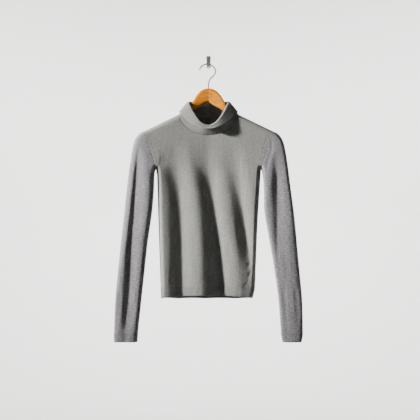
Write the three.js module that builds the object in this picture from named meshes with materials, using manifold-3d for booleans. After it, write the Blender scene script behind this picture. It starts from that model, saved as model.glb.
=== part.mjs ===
import * as THREE from 'three';
import { mergeVertices } from 'three/addons/utils/BufferGeometryUtils.js';
import Module from 'manifold-3d';

// A fine-knit turtleneck sweater on a wooden hanger, hung by its wire hook on a small wall hook.
// Millimetres. The wall is the plane y = 0, the sweater hangs in front of it (y < 0), and z points up.
// The origin is the middle of the wall hook's back face. "Left" is the side of negative x.

const wasm = await Module();
wasm.setup();

// Cloth and seams
const CLOTH = 2.0;
const BAND_IN = 2.3;
const BAND_OUT = 0.5;
const SEAM = 0.3;

// Steps of the geometry
const DIAGONAL_TIE = 0.1;
const SLOPE_STEP = 0.5;
const MERGE_WITHIN = 1e-4;

// Outline of the body, seen from the front
const NECK_X = 88;
const NECK_Z = -155.5;
const TIP_X = 184;
const TIP_Z = -203;
const ARMPIT_X = 152;
const ARMPIT_Z = -314;
const ARMHOLE_FLARE = 1.1;
const HEM_SEAM_Z = -654;
const HEM_Z = -683;
const HEM_FRONT_RISE = 5;
const HEM_BACK_DROP = 2;
const FRONT_NECK_DROP = 60;
const BACK_NECK_DROP = 8;
const NECK_DROP_POWER = 1.25;

const BODY_EDGES = [
  { z: -685, left: 137.3, right: 128 },
  { z: -654, left: 138.5, right: 134.5 },
  { z: -597, left: 140.5, right: 137 },
  { z: -468, left: 145, right: 142.5 },
  { z: -335, left: 149, right: 150.5 },
  { z: -314, left: 152, right: 152 },
];

// Half of the body's depth, from its middle surface to the outside of the cloth
const BODY_DEPTHS = [
  { z: -685, front: 32, back: 24 },
  { z: -520, front: 27, back: 21 },
  { z: -330, front: 19, back: 16 },
  { z: -230, front: 15, back: 13.5 },
  { z: -150, front: 13.5, back: 13.5 },
];
const SHOULDER_ROUND = 15;
const SIDE_ROUND = 15;

// The middle surface: the hanger's arms curve forward, and the hem hangs further off the wall
const HANGER_Y = -34;
const ARM_FORWARD = 14;
const ARM_REACH = 185;
const ARM_CURVE = 1.15;
const HEM_Y = -54;
const HEM_SIDE_BACK = 8;

// Valleys between the flutes of the front and of the back, which deepen towards the hem. One row for
// each height: the x of the valley's bottom, its depth, and how far its slopes reach to either side.
const FOLD_SOFTNESS = 0.16;
const FRONT_VALLEYS = [
  [
    { z: -230, x: -104, depth: 0, toLeft: 60, toRight: 44 },
    { z: -288, x: -104, depth: 4, toLeft: 60, toRight: 48 },
    { z: -346, x: -97, depth: 10, toLeft: 60, toRight: 54 },
    { z: -432, x: -86, depth: 13.5, toLeft: 60, toRight: 58 },
    { z: -518, x: -81, depth: 15.5, toLeft: 58, toRight: 60 },
    { z: -605, x: -79, depth: 16.5, toLeft: 56, toRight: 60 },
    { z: -685, x: -77, depth: 17, toLeft: 56, toRight: 60 },
  ],
  [
    { z: -230, x: -10, depth: 0, toLeft: 56, toRight: 50 },
    { z: -288, x: -9, depth: 4, toLeft: 58, toRight: 52 },
    { z: -346, x: -3, depth: 11, toLeft: 58, toRight: 56 },
    { z: -432, x: 7, depth: 15.5, toLeft: 58, toRight: 58 },
    { z: -518, x: 16, depth: 19, toLeft: 60, toRight: 62 },
    { z: -605, x: 23, depth: 21.5, toLeft: 62, toRight: 64 },
    { z: -685, x: 27, depth: 23, toLeft: 64, toRight: 64 },
  ],
  [
    { z: -230, x: 74, depth: 0, toLeft: 50, toRight: 42 },
    { z: -288, x: 78, depth: 4, toLeft: 54, toRight: 42 },
    { z: -346, x: 87, depth: 9, toLeft: 58, toRight: 42 },
    { z: -432, x: 97, depth: 12, toLeft: 58, toRight: 38 },
    { z: -518, x: 110, depth: 13, toLeft: 60, toRight: 30 },
    { z: -562, x: 116, depth: 9, toLeft: 60, toRight: 26 },
    { z: -605, x: 116, depth: 5, toLeft: 60, toRight: 24 },
    { z: -685, x: 116, depth: 4, toLeft: 60, toRight: 24 },
  ],
];
const BACK_VALLEYS = [
  [
    { z: -290, x: -58, depth: 0, toLeft: 40, toRight: 40 },
    { z: -360, x: -60, depth: 6, toLeft: 42, toRight: 42 },
    { z: -500, x: -74, depth: 11, toLeft: 44, toRight: 48 },
    { z: -685, x: -88, depth: 14, toLeft: 46, toRight: 52 },
  ],
  [
    { z: -330, x: 10, depth: 0, toLeft: 36, toRight: 38 },
    { z: -420, x: 6, depth: 5, toLeft: 40, toRight: 40 },
    { z: -560, x: -2, depth: 9, toLeft: 46, toRight: 44 },
    { z: -685, x: -8, depth: 11, toLeft: 50, toRight: 48 },
  ],
  [
    { z: -270, x: 70, depth: 0, toLeft: 40, toRight: 36 },
    { z: -350, x: 72, depth: 7, toLeft: 44, toRight: 38 },
    { z: -500, x: 78, depth: 12, toLeft: 52, toRight: 40 },
    { z: -685, x: 82, depth: 15, toLeft: 56, toRight: 42 },
  ],
];

// Sleeves, one row for each section from the armhole down to the cuff: the outer and the inner end
// of the flat section, and half of its depth. Distances in x are from the middle of the sweater.
const SLEEVE_LEFT = [
  { outerX: 184, outerZ: -203, innerX: 152, innerZ: -314, half: 14 },
  { outerX: 200, outerZ: -211, innerX: 154, innerZ: -319, half: 15 },
  { outerX: 213, outerZ: -229, innerX: 155.5, innerZ: -326, half: 16 },
  { outerX: 221, outerZ: -258, innerX: 156.5, innerZ: -336, half: 16.5 },
  { outerX: 228, outerZ: -305, innerX: 157, innerZ: -352, half: 17 },
  { outerX: 235, outerZ: -362, innerX: 158, innerZ: -382, half: 17 },
  { outerX: 243, outerZ: -440, innerX: 163, innerZ: -440, half: 17 },
  { outerX: 252, outerZ: -525, innerX: 175, innerZ: -525, half: 16.5 },
  { outerX: 260, outerZ: -605, innerX: 183.5, innerZ: -605, half: 16 },
  { outerX: 267.5, outerZ: -690, innerX: 192.5, innerZ: -690, half: 15 },
  { outerX: 271, outerZ: -786, innerX: 202.5, innerZ: -786, half: 14 },
];
const SLEEVE_RIGHT = [
  { outerX: 184, outerZ: -203, innerX: 152, innerZ: -314, half: 14 },
  { outerX: 201, outerZ: -212, innerX: 154.5, innerZ: -320, half: 15 },
  { outerX: 214, outerZ: -230, innerX: 156.5, innerZ: -328, half: 16 },
  { outerX: 222, outerZ: -259, innerX: 158, innerZ: -338, half: 16.5 },
  { outerX: 229, outerZ: -305, innerX: 159.5, innerZ: -354, half: 17 },
  { outerX: 236, outerZ: -362, innerX: 160.5, innerZ: -384, half: 17 },
  { outerX: 246, outerZ: -440, innerX: 162, innerZ: -440, half: 17 },
  { outerX: 254, outerZ: -525, innerX: 176.5, innerZ: -525, half: 16.5 },
  { outerX: 261, outerZ: -605, innerX: 190, innerZ: -605, half: 16 },
  { outerX: 268.5, outerZ: -690, innerX: 201, innerZ: -690, half: 15 },
  { outerX: 270.5, outerZ: -786, innerX: 208, innerZ: -786, half: 13.5 },
];
const SLEEVE_STEPS = [0, 1, 2, 3, 4, 5, 5.5, 6, 6.5, 7, 7.5, 8, 8.5, 9, 9.5, 10];
const FLAT_LEFT = 2.8;
const FLAT_RIGHT = 4.2;
const SLEEVE_EDGE_FADE = 0.09;
const ARMHOLE_FADE = 4;

// The long groove down each sleeve: its place across the section, from the outer end (0) to the
// inner end (1), its depth in the front and in the back, and its reach towards either end
const GROOVE_LEFT = [
  { step: 2.4, across: 0.15, front: 0, back: 0, toOuter: 0.1, toInner: 0.3 },
  { step: 3.6, across: 0.15, front: 2, back: 0.5, toOuter: 0.1, toInner: 0.42 },
  { step: 5, across: 0.17, front: 4.5, back: 2, toOuter: 0.1, toInner: 0.54 },
  { step: 6, across: 0.2, front: 5.5, back: 2.5, toOuter: 0.12, toInner: 0.58 },
  { step: 7, across: 0.29, front: 6, back: 2.5, toOuter: 0.2, toInner: 0.58 },
  { step: 8, across: 0.37, front: 7, back: 2.5, toOuter: 0.29, toInner: 0.56 },
  { step: 9, across: 0.4, front: 7.5, back: 2, toOuter: 0.34, toInner: 0.54 },
  { step: 9.7, across: 0.37, front: 5, back: 1, toOuter: 0.32, toInner: 0.48 },
  { step: 10, across: 0.35, front: 2.5, back: 1, toOuter: 0.3, toInner: 0.44 },
];
const GROOVE_RIGHT = [
  { step: 2, across: 0.46, front: 0, back: 0, toOuter: 0.34, toInner: 0.32 },
  { step: 3.4, across: 0.46, front: 2.5, back: 1.5, toOuter: 0.4, toInner: 0.36 },
  { step: 4.2, across: 0.48, front: 5, back: 2, toOuter: 0.44, toInner: 0.38 },
  { step: 5, across: 0.53, front: 6, back: 2.5, toOuter: 0.5, toInner: 0.4 },
  { step: 6, across: 0.56, front: 6, back: 2.5, toOuter: 0.54, toInner: 0.4 },
  { step: 6.6, across: 0.68, front: 5, back: 2.5, toOuter: 0.58, toInner: 0.3 },
  { step: 7.2, across: 0.78, front: 2.5, back: 2.5, toOuter: 0.5, toInner: 0.2 },
  { step: 7.8, across: 0.82, front: 1, back: 2.5, toOuter: 0.5, toInner: 0.18 },
  { step: 10, across: 0.76, front: 0.5, back: 2, toOuter: 0.4, toInner: 0.22 },
];

// Cuffs: the band's lower end below the sleeve's last section
const CUFF_DROP = 23;
const CUFF_LEFT = { outerX: 270.7, innerX: 204.2 };
const CUFF_RIGHT = { outerX: 266.4, innerX: 212.3 };
const SLEEVE_Y = [
  { z: -809, y: -70 },
  { z: -605, y: -64 },
  { z: -440, y: -57 },
  { z: -314, y: -51 },
  { z: -203, y: -48 },
];

// Turned-down collar: its fold and the free edge of its flap, at the sides and at the middle
const RIM_X = 56;
const RIM_SIDE_Z = -119.5;
const RIM_FRONT_DROP = 68;
const RIM_BACK_DROP = -5;
const RIM_FRONT_DEPTH = 31;
const RIM_BACK_DEPTH = 15;
const RIM_DEPTH_POWER = 0.8;
const FLAP_X = 85;
const FLAP_SIDE_Z = -147;
const FLAP_FRONT_DROP = 51;
const FLAP_BACK_DROP = 7;
const FLAP_FRONT_OUT = 6;
const FLAP_BACK_OUT = 5;
const FLAP_ARM_SHARE = 0.6;
const FLAP_SET_BACK = 5;
const FOLD_RADIUS = 3;
const FOLD_SHIFT = 2.15;
const STAND_SPANS = 4;
const FOLD_SPANS = 5;
const FLAP_SPANS = 4;

// Grid of the cloth
const SHOULDER_COLUMNS = 7;
const FRONT_NECK_COLUMNS = 18;
const BACK_NECK_COLUMNS = 12;
const ARMHOLE_ROWS = 10;
const LOWER_ROWS = 9;
const SHOULDER_SHARE = 0.26;
const EDGE_CROWDING = 1.5;
const NECK_CROWDING = 0.6;

// Wooden hanger: its top and bottom line over half of its width. Its section is flatter in front and
// behind in the middle, and oval in the arms.
const WOOD_HALF_THICK = 7.5;
const WOOD_END_X = 182;
const WOOD_ARM_FROM = 92;
const WOOD_CLEAR = 0.8;
const WOOD_LINES = [
  { x: 0, top: -78, bottom: -120 },
  { x: 12, top: -79.5, bottom: -126 },
  { x: 24, top: -86, bottom: -132.5 },
  { x: 36, top: -99, bottom: -139 },
  { x: 48, top: -120, bottom: -146 },
  { x: 60, top: -138, bottom: -156 },
  { x: 76, top: -154, bottom: -169.5 },
  { x: 92, top: -162, bottom: -179 },
];
const WOOD_ARM_HEIGHT_IN = 17.2;
const WOOD_ARM_HEIGHT_OUT = 22;
const WOOD_SIDES = 12;
const WOOD_FACE_POWER = 0.6;
const WOOD_FLAT_TO_X = 34;
const WOOD_OVAL_FROM_X = 66;
const WOOD_ROUND_FROM_X = 165;
const WOOD_END_CUT = 0.86;
const WOOD_ARM_STATIONS = [106, 124, 142, 158, 170, 178, 182];
const BORE_RADIUS = 2.3;
const BORE_DEPTH = 24;
const BORE_SIDES = 16;

// Wire hook of the hanger
const WIRE_RADIUS = 1.8;
const WIRE_SIDES = 5;
const WIRE_STEPS = 36;
const WIRE_INTO_WOOD = 20;
const HOOK_ROUTE = [
  { x: -26.5, z: -24 },
  { x: -21.5, z: -15.6 },
  { x: -12.5, z: -9.2 },
  { x: -1.5, z: -7.2 },
  { x: 9, z: -11 },
  { x: 17.6, z: -19.5 },
  { x: 20.4, z: -30 },
  { x: 15.2, z: -41 },
  { x: 5.5, z: -50 },
  { x: 0.8, z: -60 },
  { x: 0, z: -70 },
];

// Wall hook: plate, peg and upturned tab
const PLATE = { width: 12, height: 28, thick: 3, corner: 3 };
const PEG_RADIUS = 3;
const PEG_GAP = 0.6;
const PEG_SIDES = 20;
const TAB = { topZ: 14.5, lowZ: -15, topWidth: 14, lowWidth: 9, thick: 3, corner: 2.5 };
const TAB_FRONT_Y = -42.5;

const clamp01 = (v) => Math.min(1, Math.max(0, v));
const lerp = THREE.MathUtils.lerp;
const smooth = (v) => THREE.MathUtils.smoothstep(v, 0, 1);

// Value of one column of a table at a place along its key column, on a smooth curve
function tableAt(table, key, column, place) {
  const last = table.length - 1;
  const rising = table[last][key] > table[0][key];
  const order = rising ? table : [...table].reverse();
  const keys = order.map((row) => row[key]);
  if (place <= keys[0]) return order[0][column];
  if (place >= keys[last]) return order[last][column];
  let i = 0;
  while (place > keys[i + 1]) i += 1;
  const slope = (a, b) => (order[b][column] - order[a][column]) / (keys[b] - keys[a]);
  const span = keys[i + 1] - keys[i];
  const startSlope = i > 0 ? slope(i - 1, i + 1) : slope(i, i + 1);
  const endSlope = i + 1 < last ? slope(i, i + 2) : slope(i, i + 1);
  const t = (place - keys[i]) / span;
  const t2 = t * t;
  const t3 = t2 * t;
  return (
    (2 * t3 - 3 * t2 + 1) * order[i][column] +
    (t3 - 2 * t2 + t) * span * startSlope +
    (3 * t2 - 2 * t3) * order[i + 1][column] +
    (t3 - t2) * span * endSlope
  );
}

// Quarter-round rise from 0 at an edge to 1 at the given distance inside it
function roundOff(distance, radius) {
  const rest = 1 - clamp01(distance / radius);
  return Math.sqrt(Math.max(0, 1 - rest * rest));
}

const armY = (x) => HANGER_Y - ARM_FORWARD * (Math.abs(x) / ARM_REACH) ** ARM_CURVE;
const SHOULDER_SLOPE = (NECK_Z - TIP_Z) / (TIP_X - NECK_X);
const shoulderZ = (x) => NECK_Z - (Math.abs(x) - NECK_X) * SHOULDER_SLOPE;

// Distance of the body's middle surface from the wall
function middleY(x, z) {
  const down = smooth(clamp01((TIP_Z - z) / (TIP_Z - HEM_Z)));
  const low = HEM_Y + HEM_SIDE_BACK * (x / ARMPIT_X) ** 2;
  return lerp(armY(x), low, down);
}

function bodyEdge(x, z) {
  return tableAt(BODY_EDGES, 'z', x < 0 ? 'left' : 'right', z);
}

// Half depth of the body without its flutes: it closes at the shoulders and at the side seams
function bodyHalf(x, z, face) {
  const side = Math.hypot(Math.max(0, z - ARMPIT_Z), Math.max(0, bodyEdge(x, z) - Math.abs(x)));
  const depth = tableAt(BODY_DEPTHS, 'z', face, z);
  return depth * roundOff(shoulderZ(x) - z, SHOULDER_ROUND) * roundOff(side, SIDE_ROUND);
}

// Soft hump that is 1 at 0 and ends level at -1 and 1
const dome = (t) => Math.max(0, 1 - t * t) ** 3;

// Trough that is 1 at 0, with its steepest sides close to 0 and round crests at -1 and 1
function fold(t) {
  const bend = Math.hypot(t, FOLD_SOFTNESS) - FOLD_SOFTNESS;
  const end = Math.hypot(1, FOLD_SOFTNESS) - FOLD_SOFTNESS;
  return Math.max(0, 1 - bend / end) ** 2;
}

function valleyDepth(x, z, valleys) {
  let sum = 0;
  for (const valley of valleys) {
    const across = x - tableAt(valley, 'z', 'x', z);
    const reach = tableAt(valley, 'z', across < 0 ? 'toLeft' : 'toRight', z);
    sum += Math.max(0, tableAt(valley, 'z', 'depth', z)) * fold(across / reach);
  }
  return sum;
}

// Point on the outside of the body, on its front (face 'front') or its back (face 'back')
function bodyPoint(x, z, face) {
  const toFront = face === 'front' ? 1 : -1;
  const valleys = face === 'front' ? FRONT_VALLEYS : BACK_VALLEYS;
  const side = clamp01((bodyEdge(x, z) - Math.abs(x)) / SIDE_ROUND);
  const out = bodyHalf(x, z, face) - valleyDepth(x, z, valleys) * side;
  return new THREE.Vector3(x, middleY(x, z) - toFront * out, z);
}

// Unit normal of the body's outside, from the slope of its depth
function bodyNormal(x, z, face) {
  const toFront = face === 'front' ? 1 : -1;
  const y = (dx, dz) => bodyPoint(x + dx, z + dz, face).y;
  const slopeX = (y(SLOPE_STEP, 0) - y(-SLOPE_STEP, 0)) / (2 * SLOPE_STEP);
  const slopeZ = (y(0, SLOPE_STEP) - y(0, -SLOPE_STEP)) / (2 * SLOPE_STEP);
  return new THREE.Vector3(slopeX, -1, slopeZ).multiplyScalar(toFront).normalize();
}

// Share of the width at which a column of the grid stands, crowded towards the sides
function columnShare(i, neckColumns) {
  const all = 2 * SHOULDER_COLUMNS + neckColumns;
  const fromSide = Math.min(i, all - i);
  if (fromSide < SHOULDER_COLUMNS) {
    const share = SHOULDER_SHARE * (fromSide / SHOULDER_COLUMNS) ** EDGE_CROWDING;
    return i < all / 2 ? share : 1 - share;
  }
  return lerp(SHOULDER_SHARE, 1 - SHOULDER_SHARE, (i - SHOULDER_COLUMNS) / neckColumns);
}

// Flat place (x, z) of the neck edge: angle 0 is the right shoulder seam, pi the left one
function neckFlat(angle, drop) {
  return { x: NECK_X * Math.cos(angle), z: NECK_Z - drop * Math.sin(angle) ** NECK_DROP_POWER };
}

// Angle of a neck column, crowded towards the shoulder seams
function neckAngle(share) {
  return Math.PI * lerp(share, 0.5 - 0.5 * Math.cos(Math.PI * share), NECK_CROWDING);
}

function topFlat(i, neckColumns, drop) {
  const all = 2 * SHOULDER_COLUMNS + neckColumns;
  if (i >= SHOULDER_COLUMNS && i <= all - SHOULDER_COLUMNS) {
    return neckFlat(neckAngle(1 - (i - SHOULDER_COLUMNS) / neckColumns), drop);
  }
  const share = Math.min(i, all - i) / SHOULDER_COLUMNS;
  const x = lerp(TIP_X, NECK_X, share) * (i < SHOULDER_COLUMNS ? -1 : 1);
  return { x, z: shoulderZ(x) };
}

const armholeX = (v) => ARMPIT_X + (TIP_X - ARMPIT_X) * v ** ARMHOLE_FLARE;
const armholeZ = (v) => lerp(ARMPIT_Z, TIP_Z, v);
const armholeShare = (j) => 0.5 - 0.5 * Math.cos((Math.PI * j) / ARMHOLE_ROWS);

function bodyRow(z, face, neckColumns) {
  const all = 2 * SHOULDER_COLUMNS + neckColumns;
  const row = [];
  for (let i = 0; i <= all; i += 1) {
    const x = lerp(-bodyEdge(-1, z), bodyEdge(1, z), columnShare(i, neckColumns));
    row.push(bodyPoint(x, z, face));
  }
  return row;
}

// Rows of outer points of one panel, from the hem seam up to the shoulders and the neck
function panelGrid(face) {
  const neckColumns = face === 'front' ? FRONT_NECK_COLUMNS : BACK_NECK_COLUMNS;
  const drop = face === 'front' ? FRONT_NECK_DROP : BACK_NECK_DROP;
  const all = 2 * SHOULDER_COLUMNS + neckColumns;
  const rows = [];
  for (let j = 0; j < LOWER_ROWS; j += 1) {
    rows.push(bodyRow(lerp(HEM_SEAM_Z, ARMPIT_Z, j / LOWER_ROWS), face, neckColumns));
  }
  for (let j = 0; j <= ARMHOLE_ROWS; j += 1) {
    const v = armholeShare(j);
    const row = [];
    for (let i = 0; i <= all; i += 1) {
      const f = columnShare(i, neckColumns);
      const top = topFlat(i, neckColumns, drop);
      const chestX = lerp(-ARMPIT_X, ARMPIT_X, f);
      const sideX = lerp(-armholeX(v), armholeX(v), f);
      const cornerX = lerp(lerp(-ARMPIT_X, ARMPIT_X, f), lerp(-TIP_X, TIP_X, f), v);
      const x = lerp(chestX, top.x, v) + sideX - cornerX;
      const z = lerp(ARMPIT_Z, top.z, v);
      row.push(bodyPoint(x, z, face));
    }
    rows.push(row);
  }
  return rows;
}

const between = (a, b) => new THREE.Vector3().subVectors(b, a);

// Unit normals of a grid of points, pointing the way that "flip" gives
function gridNormals(rows, flip, ringed = false) {
  return rows.map((row, j) =>
    row.map((point, i) => {
      const count = row.length;
      const before = ringed ? row[(i + count - 1) % count] : row[Math.max(0, i - 1)];
      const after = ringed ? row[(i + 1) % count] : row[Math.min(count - 1, i + 1)];
      const below = rows[Math.max(0, j - 1)][i];
      const above = rows[Math.min(rows.length - 1, j + 1)][i];
      const normal = between(before, after).cross(between(below, above));
      return normal.multiplyScalar(flip).normalize();
    }),
  );
}

const levelled = (normal) => new THREE.Vector3(normal.x, normal.y, 0).normalize();

// A panel's points, normals, and the ways out across its armhole and neck edges
function panelCloth(face) {
  const points = panelGrid(face);
  const normals = points.map((row) => row.map((p) => bodyNormal(p.x, p.z, face)));
  const all = points[0].length - 1;
  const top = points.length - 1;
  const slant = new THREE.Vector3(SHOULDER_SLOPE, 0, 1).normalize();
  for (let i = 0; i <= all; i += 1) {
    normals[0][i] = levelled(normals[0][i]);
    if (i <= SHOULDER_COLUMNS) normals[top][i].set(-slant.x, 0, slant.z);
    if (i >= all - SHOULDER_COLUMNS) normals[top][i].copy(slant);
  }
  for (let j = 0; j < LOWER_ROWS; j += 1) {
    normals[j][0].set(-1, 0, 0);
    normals[j][all].set(1, 0, 0);
  }
  normals[LOWER_ROWS][0].set(0, 0, -1);
  normals[LOWER_ROWS][all].set(0, 0, -1);
  // Unit way out of the panel at an edge point: square to its normal and to the edge
  const across = (j, i, inside, along) => {
    const way = along.clone().cross(normals[j][i]);
    return way.multiplyScalar(Math.sign(way.dot(between(inside, points[j][i])))).normalize();
  };
  const sideWays = points.map((row, j) => {
    if (j === LOWER_ROWS) return [new THREE.Vector3(-1, 0, 0), new THREE.Vector3(1, 0, 0)];
    if (j === top) {
      return [new THREE.Vector3(-slant.z, 0, -slant.x), new THREE.Vector3(slant.z, 0, -slant.x)];
    }
    if (j < LOWER_ROWS) return [];
    return [0, all].map((i) => {
      const along = between(points[j - 1][i], points[j + 1][i]);
      return across(j, i, row[i === 0 ? 1 : all - 1], along);
    });
  });
  const neckWays = points[top].map((point, i) => {
    if (i === SHOULDER_COLUMNS) return new THREE.Vector3(slant.z, 0, slant.x);
    if (i === all - SHOULDER_COLUMNS) return new THREE.Vector3(-slant.z, 0, slant.x);
    if (i < SHOULDER_COLUMNS || i > all - SHOULDER_COLUMNS) return null;
    return across(top, i, points[top - 1][i], between(points[top][i - 1], points[top][i + 1]));
  });
  return { face, points, normals, sideWays, neckWays, all, top };
}

// One closed body from stations that each hold an outer and an inner run of points.
// A ring of stations closes on itself, an open row of them gets a face at each end.
// Each four-cornered face is split along its shorter diagonal, or from its lowest corner where the
// two are about as long, so that two pieces that meet at a seam are split alike.
function wall(stations, ringed) {
  const loops = stations.map((s) => [...s.outer, ...[...s.inner].reverse()]);
  const size = loops[0].length;
  const corner = loops.flat();
  const index = [];
  const quad = (a, b, c, d) => {
    const longer = corner[a].distanceTo(corner[c]) - corner[b].distanceTo(corner[d]);
    const lowest = Math.min(...[a, b, c, d].map((k) => corner[k].z));
    const lowOnFirst = corner[a].z === lowest || corner[c].z === lowest;
    const split = Math.abs(longer) < DIAGONAL_TIE ? lowOnFirst : longer < 0;
    index.push(...(split ? [a, b, c, a, c, d] : [a, b, d, b, c, d]));
  };
  const spans = ringed ? loops.length : loops.length - 1;
  for (let i = 0; i < spans; i += 1) {
    const here = i * size;
    const next = ((i + 1) % loops.length) * size;
    for (let k = 0; k < size; k += 1) {
      const after = (k + 1) % size;
      quad(here + k, next + k, next + after, here + after);
    }
  }
  if (!ringed) {
    for (const [start, turned] of [[0, false], [(loops.length - 1) * size, true]]) {
      for (let k = 0; k < size / 2 - 1; k += 1) {
        const corners = [start + k, start + k + 1, start + size - 2 - k, start + size - 1 - k];
        if (turned) corners.reverse();
        quad(...corners);
      }
    }
  }
  const geometry = new THREE.BufferGeometry();
  const flat = corner.flatMap((p) => [p.x, p.y, p.z]);
  geometry.setAttribute('position', new THREE.Float32BufferAttribute(flat, 3));
  geometry.setIndex(index);
  return facingOut(geometry);
}

// Turns every face over if the body's volume comes out negative
function facingOut(geometry) {
  const at = geometry.getAttribute('position');
  const index = geometry.getIndex();
  const [a, b, c] = [new THREE.Vector3(), new THREE.Vector3(), new THREE.Vector3()];
  let volume = 0;
  for (let i = 0; i < index.count; i += 3) {
    a.fromBufferAttribute(at, index.getX(i));
    b.fromBufferAttribute(at, index.getX(i + 1));
    c.fromBufferAttribute(at, index.getX(i + 2));
    volume += a.dot(b.cross(c));
  }
  if (volume < 0) {
    const turned = [];
    for (let i = 0; i < index.count; i += 3) {
      turned.push(index.getX(i), index.getX(i + 2), index.getX(i + 1));
    }
    geometry.setIndex(turned);
  }
  geometry.computeVertexNormals();
  return geometry;
}

// Front or back panel: every seam edge steps back by half of the seam's gap
function panelWall(cloth) {
  const { face, points, normals, sideWays, neckWays, all, top } = cloth;
  const toSeam = face === 'front' ? -SEAM / 2 : SEAM / 2;
  const stations = [];
  for (let i = 0; i <= all; i += 1) {
    const outer = [];
    const inner = [];
    for (let j = 0; j <= top; j += 1) {
      const p = points[j][i].clone();
      const onSide = i === 0 || i === all;
      const onShoulder = j === top && (i <= SHOULDER_COLUMNS || i >= all - SHOULDER_COLUMNS);
      const onNeck = j === top && i >= SHOULDER_COLUMNS && i <= all - SHOULDER_COLUMNS;
      if (onSide && j >= LOWER_ROWS) p.addScaledVector(sideWays[j][i === 0 ? 0 : 1], -SEAM / 2);
      if (onNeck) p.addScaledVector(neckWays[i], -SEAM / 2);
      if (onShoulder || (onSide && j <= LOWER_ROWS)) p.y += toSeam;
      outer.push(p);
      inner.push(p.clone().addScaledVector(normals[j][i], -CLOTH));
    }
    stations.push({ outer, inner });
  }
  return wall(stations, false);
}

// Outer points of one sleeve: rings of points, each from the shoulder end down the front to the
// armpit end and back up the back. The first ring is the body's own armhole.
function sleeveGrid(front, back, isLeft) {
  const table = (isLeft ? SLEEVE_LEFT : SLEEVE_RIGHT).map((row, step) => ({ ...row, step }));
  const groove = isLeft ? GROOVE_LEFT : GROOVE_RIGHT;
  const flatness = isLeft ? FLAT_LEFT : FLAT_RIGHT;
  const sign = isLeft ? -1 : 1;
  const edge = isLeft ? 0 : 1;
  const column = (cloth) => (isLeft ? 0 : cloth.all);
  const count = 2 * ARMHOLE_ROWS;
  const seam = [];
  for (let j = 0; j < count; j += 1) {
    const cloth = j <= ARMHOLE_ROWS ? front : back;
    const row = cloth.top - (j <= ARMHOLE_ROWS ? j : count - j);
    seam.push({
      point: cloth.points[row][column(cloth)],
      normal: cloth.normals[row][column(cloth)],
      way: cloth.sideWays[row][edge],
    });
  }
  const ringAt = (step) => {
    const at = (name) => tableAt(table, 'step', name, step);
    const across = tableAt(groove, 'step', 'across', step);
    const ring = [];
    for (let j = 0; j < count; j += 1) {
      const angle = (Math.PI * j) / ARMHOLE_ROWS;
      const share = 0.5 - 0.5 * Math.cos(angle);
      const x = sign * lerp(at('outerX'), at('innerX'), share);
      const z = lerp(at('outerZ'), at('innerZ'), share);
      const isFront = j <= ARMHOLE_ROWS;
      const reach = tableAt(groove, 'step', share < across ? 'toOuter' : 'toInner', step);
      const depth = tableAt(groove, 'step', isFront ? 'front' : 'back', step);
      const bulge = at('half') * Math.abs(Math.sin(angle)) ** (2 / flatness);
      const edgeFade = roundOff(0.5 - Math.abs(share - 0.5), SLEEVE_EDGE_FADE);
      const out = bulge - depth * dome((share - across) / reach) * edgeFade;
      const y = tableAt(SLEEVE_Y, 'z', 'y', z) + (isFront ? -out : out);
      ring.push(new THREE.Vector3(x, y, z));
    }
    return ring;
  };
  const plain = ringAt(0);
  const rings = SLEEVE_STEPS.map((step) => {
    const keep = 1 - smooth(clamp01(step / ARMHOLE_FADE));
    return ringAt(step).map((p, j) => p.addScaledVector(between(plain[j], seam[j].point), keep));
  });
  return { rings, seam };
}

function sleeveCloth(front, back, isLeft) {
  const { rings, seam } = sleeveGrid(front, back, isLeft);
  const normals = gridNormals(rings, isLeft ? -1 : 1, true);
  const last = rings.length - 1;
  normals.forEach((ring, k) => {
    for (const j of [0, ARMHOLE_ROWS]) ring[j].setY(0).normalize();
    if (k === 0) ring.forEach((n, j) => n.copy(seam[j].normal));
    if (k === last) ring.forEach((n, j) => n.copy(levelled(n)));
  });
  rings[0].forEach((p, j) => p.addScaledVector(seam[j].way, SEAM / 2));
  return { rings, normals };
}

function tubeWall(rings, normals, inward, outward) {
  const stations = rings[0].map((first, j) => ({
    outer: rings.map((ring, k) => ring[j].clone().addScaledVector(normals[k][j], outward)),
    inner: rings.map((ring, k) => ring[j].clone().addScaledVector(normals[k][j], -inward)),
  }));
  return wall(stations, true);
}

// Cuff: the sleeve's last section carried down to the cuff's own end
function cuffWall(sleeve, isLeft) {
  const rows = isLeft ? SLEEVE_LEFT : SLEEVE_RIGHT;
  const end = rows[rows.length - 1];
  const cuff = isLeft ? CUFF_LEFT : CUFF_RIGHT;
  const sign = isLeft ? -1 : 1;
  const last = sleeve.rings.length - 1;
  const startMiddle = (sign * (end.outerX + end.innerX)) / 2;
  const endMiddle = (sign * (cuff.outerX + cuff.innerX)) / 2;
  const narrowing = (cuff.outerX - cuff.innerX) / (end.outerX - end.innerX);
  const rings = [0, 1].map((down) =>
    sleeve.rings[last].map((p) => {
      const x = lerp(p.x, endMiddle + (p.x - startMiddle) * narrowing, down);
      const z = p.z - lerp(SEAM, CUFF_DROP, down);
      return new THREE.Vector3(x, p.y, z);
    }),
  );
  const normals = rings.map(() => sleeve.normals[last]);
  return tubeWall(rings, normals, BAND_IN, BAND_OUT);
}

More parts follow.
